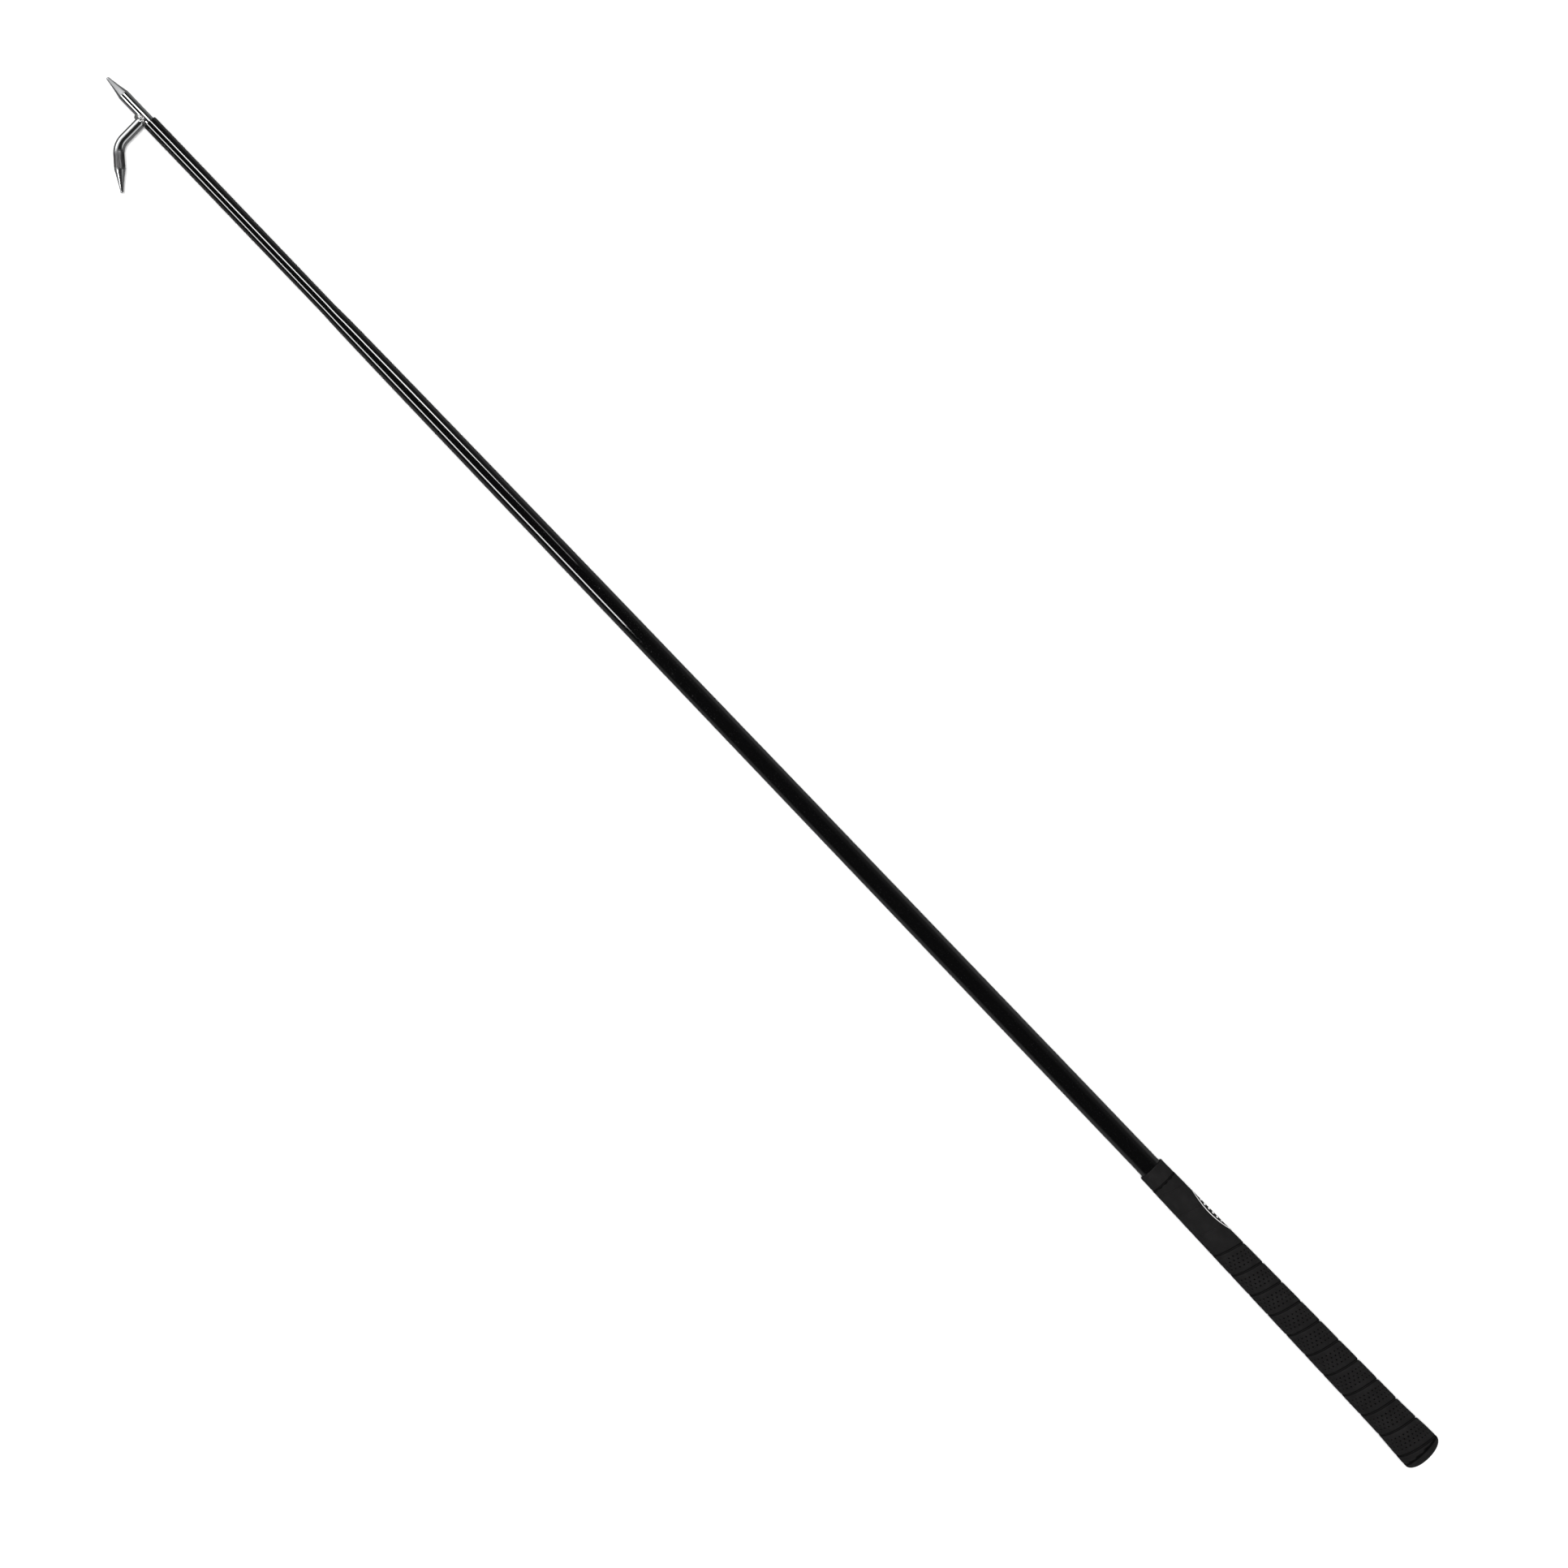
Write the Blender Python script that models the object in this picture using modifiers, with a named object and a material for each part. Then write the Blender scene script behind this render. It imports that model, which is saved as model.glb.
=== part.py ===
"""Cattle show stick, a one-piece stick for placing an animal's feet.

A hollow tapered composite tube carries a steel spike with a welded side hook at its tip, and a
wrapped golf-type grip with a flared end cap at its butt. All lengths are in metres.

The stick lies along X. The origin is the middle of the flat land on the end cap, +X runs to the
spike's point, the hook stands out towards +Y, and +Z is up. A "station" is a place along X.
"""

import math

import bmesh
import bpy
from mathutils import Vector

# Whole stick
OVERALL_LENGTH = 1.2192
SEGMENTS = 32                  # around every turned piece, so that nested pieces stay parallel
SLIDING_GAP = 0.00005          # between turned pieces that are bonded one inside the other
FITTED_GAP = 0.0001            # where the hook and its weld are shaped to the rods
SEAM_GAP = 0.0003              # between pieces that meet end to end
TURNED_MERGE = 0.00001         # points closer than this are one, in a turned piece
BENT_MERGE = 0.000001          # the same, in a rod swept along a curve

# Tube
TUBE_TIP_STATION = 1.1796
TUBE_TIP_RADIUS = 0.0048
TUBE_BUTT_RADIUS = 0.00762
TUBE_WALL = 0.00118
TIP_PARALLEL = 0.163           # length of the parallel stretch behind the tip
TAPER_LENGTH = 0.8246          # from the parallel tip to the parallel butt
TAPER_STEPS = 12
TUBE_EDGE = 0.00015            # broken edge at both ends

# Rod stock of the spike and the hook
ROD_RADIUS = 0.00357
BLUNT_RADIUS = 0.00104         # the rounded end of both points
POINT_LENGTH = 0.0152
POINT_HOLLOW = 1.25            # power law of the ground point, 1.0 would be a straight cone
ROUND_END_ANGLES = (20, 45, 70)  # degrees around the rounded end at which the outline has a point
FLANK_STEPS = 6

# Tang of the spike, and the adhesive around it
TANG_LENGTH = 0.060
TANG_RADIUS = 0.0031
SHOULDER_DEPTH = 0.003         # full-width rod inside the tube's mouth

# Hook
HOOK_STATION = 1.1839
HOOK_LEAN = math.radians(1.9)  # lean of the rise towards the butt
RISE_LENGTH = 0.0189
BEND_RADIUS = 0.0127
BEND_ANGLE = math.radians(47.6)
ARM_LENGTH = 0.0252
ARM_CURL = math.radians(2.8)   # slow curve of the arm after the bend
RISE_STEPS = 2
BEND_STEPS = 10
ARM_STEPS = 3
HOOK_ROUNDNESS = 6             # bevel resolution of the swept rod
SPIKE_CUTTER_LENGTH = 0.03     # of the cylinder that shapes the foot and the bead to the spike
HOOK_CUTTER_LENGTH = 0.02      # of the cylinder that shapes the bead to the hook
HOOK_CUTTER_HEIGHT = 0.006     # its middle, above the spike's axis

# Weld bead around the foot of the hook
BEAD_RADIUS = 0.00118
BEAD_SWELL = 0.00064           # thicker on the side of the point, thinner on the side of the tube
BEAD_SADDLE = 0.9
BEAD_LUMPS = 0.00012
BEAD_LUMP_COUNT = 7
BEAD_STEPS = 28
BEAD_ROUNDNESS = 3             # bevel resolution of the swept bead

# Grip
GRIP_MOUTH_STATION = 0.2552
COLLAR_LENGTH = 0.0114
COLLAR_MOUTH_RADIUS = 0.00896
COLLAR_SEAM_RADIUS = 0.00907
COLLAR_LIP_LENGTH = 0.0015
COLLAR_EDGE = 0.0003           # broken edge at both ends
CAP_LENGTH = 0.0065
WRAP_MOUTH_RADIUS = 0.0092
WRAP_SLOPE = 0.01453           # growth of the wrap's radius towards the butt
FLARE_LENGTH = 0.031
FLARE_HEIGHT = 0.00105
FLARE_STEPS = 6
STRIP_THICKNESS = 0.0007
STRIP_PITCH = 0.01736
STRIP_GAP = 0.0005             # between neighbouring turns of the strip
SEAM_STATION = 0.1669          # where the seam passes the +Z side
WINDING_INNER = 0.5            # inner radius of the strip while its outer radius is still 1
CUT_TOLERANCE = 1e-7
SHARP_ANGLE = math.radians(30)
TAPE_THICKNESS = 0.0002
TAPE_INSET = 0.004             # from each end of the sleeve

# End cap
CAP_RADIUS = 0.0137
LAND_RADIUS = 0.0030
DOME_HEIGHT = 0.0056           # the rest of the cap's length is a short parallel band
DOME_STEPS = 8
VENT_RADIUS = 0.0012
SPIGOT_RADIUS = 0.0062
SPIGOT_LENGTH = 0.008

BLACK_GLOSS = ("black_gloss", (0.004, 0.004, 0.005), 0.08, 0.0)
BRIGHT_PLATE = ("bright_plate", (0.80, 0.81, 0.82), 0.10, 1.0)
AMBER_EPOXY = ("amber_epoxy", (0.55, 0.40, 0.18), 0.30, 0.0)
CHARCOAL_WRAP = ("charcoal_wrap", (0.017, 0.016, 0.016), 0.65, 0.0)
BLACK_RUBBER = ("black_rubber", (0.012, 0.012, 0.012), 0.75, 0.0)
PAPER_TAPE = ("paper_tape", (0.78, 0.74, 0.62), 0.80, 0.0)


def clear_scene():
    """Remove every object of the scene."""
    for old in list(bpy.data.objects):
        bpy.data.objects.remove(old, do_unlink=True)


def collection(name):
    """Return a new collection linked to the scene."""
    made = bpy.data.collections.new(name)
    bpy.context.scene.collection.children.link(made)
    return made


def material(finish):
    """Return the material of a finish: name, colour, roughness and metallic value."""
    name, colour, roughness, metallic = finish
    made = bpy.data.materials.get(name) or bpy.data.materials.new(name)
    made.use_nodes = True
    shader = made.node_tree.nodes["Principled BSDF"]
    shader.inputs["Base Color"].default_value = (*colour, 1.0)
    shader.inputs["Roughness"].default_value = roughness
    shader.inputs["Metallic"].default_value = metallic
    return made


def place(name, data, finish, parts):
    """Link an object made from mesh or curve data, and give it its finish."""
    piece = bpy.data.objects.new(name, data)
    data.materials.append(material(finish))
    parts.objects.link(piece)
    return piece


def mesh_from(name, bm):
    """Turn a bmesh into mesh data."""
    bmesh.ops.recalc_face_normals(bm, faces=bm.faces)
    mesh = bpy.data.meshes.new(name)
    bm.to_mesh(mesh)
    bm.free()
    return mesh


def turned(name, outline, finish, parts, closed=True):
    """Turn an outline of (station, radius) points about X.

    The outline runs from the tip side to the butt side along the outer surface. A closed outline
    goes back along the bore; an open one starts and ends on the axis.
    """
    bm = bmesh.new()
    points = [bm.verts.new((radius, 0.0, station)) for station, radius in outline]
    for first, second in zip(points, points[1:]):
        bm.edges.new((first, second))
    if closed:
        bm.edges.new((points[-1], points[0]))
    mesh = bpy.data.meshes.new(name)
    bm.to_mesh(mesh)
    bm.free()
    piece = place(name, mesh, finish, parts)
    piece.rotation_euler = (0.0, math.pi / 2, 0.0)
    screw = piece.modifiers.new("turn", "SCREW")
    screw.axis = "Z"
    screw.steps = SEGMENTS
    screw.render_steps = SEGMENTS
    screw.use_merge_vertices = True
    screw.merge_threshold = TURNED_MERGE
    screw.use_smooth_shade = True
    return piece


def bent_rod(name, path, radii, roundness, cyclic=False):
    """Return mesh data of a round rod along a path of points, with a radius at each point."""
    curve = bpy.data.curves.new(name, "CURVE")
    curve.dimensions = "3D"
    curve.bevel_depth = 1.0
    curve.bevel_resolution = roundness
    curve.use_fill_caps = not cyclic
    spline = curve.splines.new("POLY")
    spline.points.add(len(path) - 1)
    spline.use_cyclic_u = cyclic
    for point, location, radius in zip(spline.points, path, radii):
        point.co = (*location, 1.0)
        point.radius = radius
    holder = bpy.data.objects.new(name, curve)
    bpy.context.scene.collection.objects.link(holder)
    graph = bpy.context.evaluated_depsgraph_get()
    mesh = bpy.data.meshes.new_from_object(holder.evaluated_get(graph))
    bpy.data.objects.remove(holder, do_unlink=True)
    bm = bmesh.new()
    bm.from_mesh(mesh)
    bmesh.ops.remove_doubles(bm, verts=bm.verts, dist=BENT_MERGE)
    bmesh.ops.recalc_face_normals(bm, faces=bm.faces)
    bm.to_mesh(mesh)
    bm.free()
    return mesh


def cutting_rod(name, radius, middle, along, length, cutters):
    """Return a hidden cylinder used as a cutter."""
    bm = bmesh.new()
    bmesh.ops.create_cone(
        bm, cap_ends=True, segments=SEGMENTS, radius1=radius, radius2=radius, depth=length
    )
    cutter = bpy.data.objects.new(name, mesh_from(name, bm))
    cutter.location = middle
    cutter.rotation_euler = Vector(along).to_track_quat("Z", "Y").to_euler()
    cutter.hide_render = True
    cutter.display_type = "WIRE"
    cutters.objects.link(cutter)
    return cutter


def combine(piece, other, operation):
    """Join another object to a piece, or subtract it from the piece."""
    boolean = piece.modifiers.new(other.name, "BOOLEAN")
    boolean.operation = operation
    boolean.solver = "EXACT"
    boolean.object = other


def tube_radius(station):
    """Outer radius of the tube: parallel tip, square-root taper, parallel butt."""
    behind = TUBE_TIP_STATION - TIP_PARALLEL - station
    share = min(max(behind / TAPER_LENGTH, 0.0), 1.0)
    return TUBE_TIP_RADIUS + (TUBE_BUTT_RADIUS - TUBE_TIP_RADIUS) * math.sqrt(share)


def wrap_radius(station):
    """Outer radius of the grip's wrap: a cone that flares into the cap."""
    cone = WRAP_MOUTH_RADIUS + WRAP_SLOPE * (GRIP_MOUTH_STATION - COLLAR_LENGTH - station)
    share = min(max((CAP_LENGTH + FLARE_LENGTH - station) / FLARE_LENGTH, 0.0), 1.0)
    return cone + FLARE_HEIGHT * share * share * (3.0 - 2.0 * share)


def flare_stations():
    """Stations of the flare, from its start to the cap's seam."""
    return [CAP_LENGTH + FLARE_LENGTH * (1.0 - step / FLARE_STEPS) for step in range(FLARE_STEPS)]


def point_radius(distance):
    """Radius of a ground point at a distance from its end."""
    if distance < BLUNT_RADIUS:
        return math.sqrt(BLUNT_RADIUS ** 2 - (BLUNT_RADIUS - distance) ** 2)
    share = min((distance - BLUNT_RADIUS) / (POINT_LENGTH - BLUNT_RADIUS), 1.0)
    return BLUNT_RADIUS + (ROD_RADIUS - BLUNT_RADIUS) * share ** POINT_HOLLOW


def point_distances():
    """Distances from a point's end at which its outline is given: the round end, then the flank."""
    round_end = [BLUNT_RADIUS * (1.0 - math.cos(math.radians(angle))) for angle in ROUND_END_ANGLES]
    flank_length = POINT_LENGTH - BLUNT_RADIUS
    flank = [BLUNT_RADIUS + flank_length * step / FLANK_STEPS for step in range(FLANK_STEPS + 1)]
    return round_end + flank


def shaft_tube(parts):
    """The hollow tube, open at both ends."""
    butt_station = CAP_LENGTH + SEAM_GAP
    taper_start = TUBE_TIP_STATION - TIP_PARALLEL
    taper = [taper_start - TAPER_LENGTH * (step / TAPER_STEPS) ** 2 for step in range(TAPER_STEPS + 1)]
    stations = [TUBE_TIP_STATION - TUBE_EDGE, *taper, butt_station + TUBE_EDGE]
    outer = [(TUBE_TIP_STATION, TUBE_TIP_RADIUS - TUBE_EDGE)]
    outer += [(station, tube_radius(station)) for station in stations]
    outer.append((butt_station, TUBE_BUTT_RADIUS - TUBE_EDGE))
    bore = [(butt_station, TUBE_BUTT_RADIUS - TUBE_WALL)]
    bore += [(station, tube_radius(station) - TUBE_WALL) for station in reversed(taper)]
    bore.append((TUBE_TIP_STATION, TUBE_TIP_RADIUS - TUBE_WALL))
    turned("shaft_tube", outer + bore, BLACK_GLOSS, parts)


def spike_pin(parts):
    """The spike: a ground point, a rod, and a turned-down tang inside the tube."""
    shoulder = TUBE_TIP_STATION - SHOULDER_DEPTH
    tang_end = shoulder - TANG_LENGTH
    outline = [(OVERALL_LENGTH, 0.0)]
    outline += [(OVERALL_LENGTH - distance, point_radius(distance)) for distance in point_distances()]
    outline += [(shoulder, ROD_RADIUS), (shoulder, TANG_RADIUS)]
    outline += [(tang_end + TUBE_EDGE, TANG_RADIUS), (tang_end, TANG_RADIUS - TUBE_EDGE), (tang_end, 0.0)]
    turned("spike_pin", outline, BRIGHT_PLATE, parts, closed=False)


def tang_bond(parts):
    """The cured adhesive that fills the space between the tang and the bore."""
    front = TUBE_TIP_STATION - SHOULDER_DEPTH - SEAM_GAP
    back = front - TANG_LENGTH + SEAM_GAP
    outer = TUBE_TIP_RADIUS - TUBE_WALL - SLIDING_GAP
    inner = TANG_RADIUS + SLIDING_GAP
    turned("tang_bond", [(front, outer), (back, outer), (back, inner), (front, inner)], AMBER_EPOXY, parts)


def heading(angle):
    """Unit vector in the XY plane at an angle from +X."""
    return Vector((math.cos(angle), math.sin(angle), 0.0))


def hook_path():
    """Centreline of the hook from the spike's axis to its point, with each point's distance from the end.

    The rod is walked in short straight steps; each stretch has a length, a turn and a step count.
    """
    stretches = [
        (RISE_LENGTH, 0.0, RISE_STEPS),
        (BEND_RADIUS * BEND_ANGLE, BEND_ANGLE, BEND_STEPS),
        (ARM_LENGTH - POINT_LENGTH, ARM_CURL / 2, ARM_STEPS),
    ]
    angle = math.pi / 2 + HOOK_LEAN
    here = Vector((HOOK_STATION, 0.0, 0.0))
    points = [here.copy()]
    for length, turn, steps in stretches:
        for _ in range(steps):
            angle += turn / steps / 2
            here = here + heading(angle) * (length / steps)
            angle += turn / steps / 2
            points.append(here.copy())
    radii = [ROD_RADIUS] * len(points)
    point_start = here.copy()
    for distance in reversed(point_distances()[:-1]):
        walked = POINT_LENGTH - distance
        bend = angle + ARM_CURL / 2 * walked / POINT_LENGTH
        points.append(point_start + heading((angle + bend) / 2) * walked)
        radii.append(point_radius(distance))
    return points, radii


def hook(parts, cutters):
    """The hook, with its foot shaped to the spike's round side."""
    path, radii = hook_path()
    piece = place("hook", bent_rod("hook", path, radii, HOOK_ROUNDNESS), BRIGHT_PLATE, parts)
    middle = (HOOK_STATION, 0.0, 0.0)
    reach = ROD_RADIUS + FITTED_GAP
    clearance = cutting_rod("spike_clearance", reach, middle, (1, 0, 0), SPIKE_CUTTER_LENGTH, cutters)
    combine(piece, clearance, "DIFFERENCE")


def hook_weld(parts, cutters):
    """The weld bead: a lumpy ring in the corner between the hook's foot and the spike."""
    middle = Vector((HOOK_STATION, 0.0, 0.0))
    path = []
    radii = []
    for step in range(BEAD_STEPS):
        turn = 2.0 * math.pi * step / BEAD_STEPS
        saddle = math.sqrt(1.0 - (BEAD_SADDLE * math.sin(turn)) ** 2)
        across = ROD_RADIUS * Vector((math.cos(turn), saddle, math.sin(turn)))
        path.append(middle + across)
        lump = BEAD_LUMPS * math.sin(BEAD_LUMP_COUNT * turn)
        radii.append(BEAD_RADIUS + BEAD_SWELL * math.cos(turn) + lump)
    bead = bent_rod("hook_weld", path, radii, BEAD_ROUNDNESS, cyclic=True)
    piece = place("hook_weld", bead, BRIGHT_PLATE, parts)
    reach = ROD_RADIUS + 2 * FITTED_GAP
    under_spike = cutting_rod("under_spike", reach, middle, (1, 0, 0), SPIKE_CUTTER_LENGTH, cutters)
    reach = ROD_RADIUS + FITTED_GAP
    rise = heading(math.pi / 2 + HOOK_LEAN)
    above = middle + rise * HOOK_CUTTER_HEIGHT
    under_hook = cutting_rod("under_hook", reach, above, rise, HOOK_CUTTER_LENGTH, cutters)
    combine(under_spike, under_hook, "UNION")
    combine(piece, under_spike, "DIFFERENCE")


def grip_tape(parts):
    """The double-sided tape between the tube and the sleeve."""
    front = GRIP_MOUTH_STATION - COLLAR_LIP_LENGTH - TAPE_INSET
    back = CAP_LENGTH + SEAM_GAP + TAPE_INSET
    inner = TUBE_BUTT_RADIUS + SLIDING_GAP
    outer = inner + TAPE_THICKNESS
    turned("grip_tape", [(front, outer), (back, outer), (back, inner), (front, inner)], PAPER_TAPE, parts)


def grip_underlisting(parts):
    """The tapered rubber sleeve that the strip is wound on."""
    front = GRIP_MOUTH_STATION - COLLAR_LIP_LENGTH - SEAM_GAP
    back = CAP_LENGTH + SEAM_GAP
    sink = STRIP_THICKNESS + SLIDING_GAP
    stations = [front, *flare_stations(), back]
    outer = [(station, wrap_radius(station) - sink) for station in stations]
    inner = TUBE_BUTT_RADIUS + SLIDING_GAP + TAPE_THICKNESS + SLIDING_GAP
    turned("grip_underlisting", [*outer, (back, inner), (front, inner)], BLACK_RUBBER, parts)


def wound_strip():
    """Mesh of the strip: a flat section swept along a helix, trimmed square at both ends.

    It is wound on a cylinder of radius 1 first, then each point is drawn in to the grip's radius.
    The seam moves towards the point as it turns from +Z to +Y.
    """
    bm = bmesh.new()
    seam_at_y = SEAM_STATION + STRIP_PITCH / 4
    spare = math.ceil(seam_at_y / STRIP_PITCH) + 1
    low = seam_at_y - spare * STRIP_PITCH + STRIP_GAP / 2
    high = low + STRIP_PITCH - STRIP_GAP
    corners = [(low, 1.0), (high, 1.0), (high, WINDING_INNER), (low, WINDING_INNER)]
    bm.faces.new([bm.verts.new((station, radius, 0.0)) for station, radius in corners])
    turns = math.ceil((GRIP_MOUTH_STATION - low) / STRIP_PITCH) + 1
    bmesh.ops.spin(
        bm,
        geom=bm.faces[:] + bm.edges[:] + bm.verts[:],
        axis=(1.0, 0.0, 0.0),
        dvec=(STRIP_PITCH / SEGMENTS, 0.0, 0.0),
        angle=-2.0 * math.pi * turns,
        steps=SEGMENTS * turns,
    )
    trims = [
        (GRIP_MOUTH_STATION - COLLAR_LENGTH - SEAM_GAP, 1.0),
        (CAP_LENGTH + SEAM_GAP, -1.0),
    ]
    for station, side in trims:
        everything = bm.verts[:] + bm.edges[:] + bm.faces[:]
        made = bmesh.ops.bisect_plane(
            bm,
            geom=everything,
            dist=CUT_TOLERANCE,
            plane_co=(station, 0.0, 0.0),
            plane_no=(side, 0.0, 0.0),
            clear_outer=True,
        )
        rim = [item for item in made["geom_cut"] if isinstance(item, bmesh.types.BMEdge)]
        bmesh.ops.edgeloop_fill(bm, edges=rim)
    for station in flare_stations():
        everything = bm.verts[:] + bm.edges[:] + bm.faces[:]
        bmesh.ops.bisect_plane(
            bm,
            geom=everything,
            dist=CUT_TOLERANCE,
            plane_co=(station, 0.0, 0.0),
            plane_no=(1.0, 0.0, 0.0),
        )
    for vert in bm.verts:
        outside = math.hypot(vert.co.y, vert.co.z) > (1.0 + WINDING_INNER) / 2
        radius = wrap_radius(vert.co.x)
        scale = radius if outside else (radius - STRIP_THICKNESS) / WINDING_INNER
        vert.co.y *= scale
        vert.co.z *= scale
    return mesh_from("grip_wrap", bm)


def grip_wrap(parts):
    """The wound strip."""
    piece = place("grip_wrap", wound_strip(), CHARCOAL_WRAP, parts)
    piece.data.shade_smooth()
    piece.data.set_sharp_from_angle(angle=SHARP_ANGLE)


def grip_collar(parts):
    """The plain band at the grip's mouth, with a lip that closes down on the tube."""
    mouth = GRIP_MOUTH_STATION
    seam = GRIP_MOUTH_STATION - COLLAR_LENGTH
    lip = mouth - COLLAR_LIP_LENGTH
    lip_bore = tube_radius(lip) + 2.0 * SLIDING_GAP
    bore = wrap_radius(seam) - STRIP_THICKNESS
    outline = [
        (mouth, COLLAR_MOUTH_RADIUS - COLLAR_EDGE),
        (mouth - COLLAR_EDGE, COLLAR_MOUTH_RADIUS),
        (seam + COLLAR_EDGE, COLLAR_SEAM_RADIUS),
        (seam, COLLAR_SEAM_RADIUS - COLLAR_EDGE),
        (seam, bore),
        (lip, bore),
        (lip, lip_bore),
        (mouth, lip_bore),
    ]
    turned("grip_collar", outline, BLACK_RUBBER, parts)


def grip_end_cap(parts):
    """The domed cap, with a flat land, a vent hole and a spigot inside the tube's butt."""
    outline = [
        (CAP_LENGTH + SPIGOT_LENGTH, SPIGOT_RADIUS - TUBE_EDGE),
        (CAP_LENGTH + SPIGOT_LENGTH - TUBE_EDGE, SPIGOT_RADIUS),
        (CAP_LENGTH, SPIGOT_RADIUS),
        (CAP_LENGTH, CAP_RADIUS),
    ]
    for step in range(DOME_STEPS + 1):
        turn = math.pi / 2 * (1.0 - step / DOME_STEPS)
        radius = LAND_RADIUS + (CAP_RADIUS - LAND_RADIUS) * math.sin(turn)
        outline.append((DOME_HEIGHT * (1.0 - math.cos(turn)), radius))
    outline += [(0.0, VENT_RADIUS), (CAP_LENGTH + SPIGOT_LENGTH, VENT_RADIUS)]
    turned("grip_end_cap", outline, BLACK_RUBBER, parts)


def main():
    """Build every piece of the stick."""
    clear_scene()
    parts = collection("show_stick")
    cutters = collection("cutters")
    shaft_tube(parts)
    spike_pin(parts)
    tang_bond(parts)
    hook(parts, cutters)
    hook_weld(parts, cutters)
    grip_tape(parts)
    grip_underlisting(parts)
    grip_wrap(parts)
    grip_collar(parts)
    grip_end_cap(parts)


main()
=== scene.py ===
"""Looks of a cattle show stick.

A gloss black tube carries a bright steel spike with a welded hook, and a wrapped grip. The stick
lies along X with the grip's end cap at the origin, the spike's point at +X, the hook towards +Y
and +Z up. All lengths are in metres. A "station" is a place along X.
"""

import logging
import math
from dataclasses import dataclass, field
from enum import Enum
from typing import Any, Callable, Iterable, Mapping, Optional, Sequence, Union

import bmesh
import bpy
from mathutils import Matrix, Vector
from mathutils.noise import noise as solid_noise


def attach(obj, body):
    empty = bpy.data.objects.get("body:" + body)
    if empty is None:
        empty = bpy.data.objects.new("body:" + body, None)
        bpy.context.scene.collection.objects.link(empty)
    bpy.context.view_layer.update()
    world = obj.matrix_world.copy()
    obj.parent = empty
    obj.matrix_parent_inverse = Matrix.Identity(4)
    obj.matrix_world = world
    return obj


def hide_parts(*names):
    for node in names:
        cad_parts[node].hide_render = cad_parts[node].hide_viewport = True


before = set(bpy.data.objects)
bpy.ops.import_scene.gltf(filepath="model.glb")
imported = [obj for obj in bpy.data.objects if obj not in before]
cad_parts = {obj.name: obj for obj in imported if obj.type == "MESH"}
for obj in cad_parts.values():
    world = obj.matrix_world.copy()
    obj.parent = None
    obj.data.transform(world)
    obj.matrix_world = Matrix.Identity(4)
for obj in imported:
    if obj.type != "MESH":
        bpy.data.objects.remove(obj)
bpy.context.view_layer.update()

BODY = "root"
LOG = logging.getLogger("show_stick")

Colour = tuple[float, float, float]
Outline = Sequence[tuple[float, float]]

OVERALL_LENGTH = 1.2192
SEAM_GAP = 0.0003              # between pieces that meet end to end
FITTED_GAP = 0.0001            # between the hook's foot and the spike
SLIDING_GAP = 0.00005          # between pieces that lie one inside the other
CUT_TOLERANCE = 1e-7           # a point this close to a cut lies on it
ALONG = "along"                # stored on the steel: distance from the end of a ground point
SCUFFED = "scuffed"            # stored on the steel: share of scuffs
SUNK = "sunk"                  # stored on the grip: share of shade, in seams and holes


class Slot(Enum):
    """Material slots of the record, named in the report of each new piece."""

    TUBE_GLOSS = "tube_gloss"
    BRIGHT_STEEL = "bright_steel"
    WELD_STEEL = "weld_steel"
    WRAP_BLACK = "wrap_black"
    RUBBER_BLACK = "rubber_black"


class Side(Enum):
    """Sides of a cut across the stick, as directions along X."""

    TIP = 1.0
    BUTT = -1.0


def smooth_step(value: float, low: float, high: float) -> float:
    """Rise smoothly from 0 at low to 1 at high."""
    share = min(max((value - low) / (high - low), 0.0), 1.0)
    return share * share * (3.0 - 2.0 * share)


# Shader maths -----------------------------------------------------------------------------------


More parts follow.
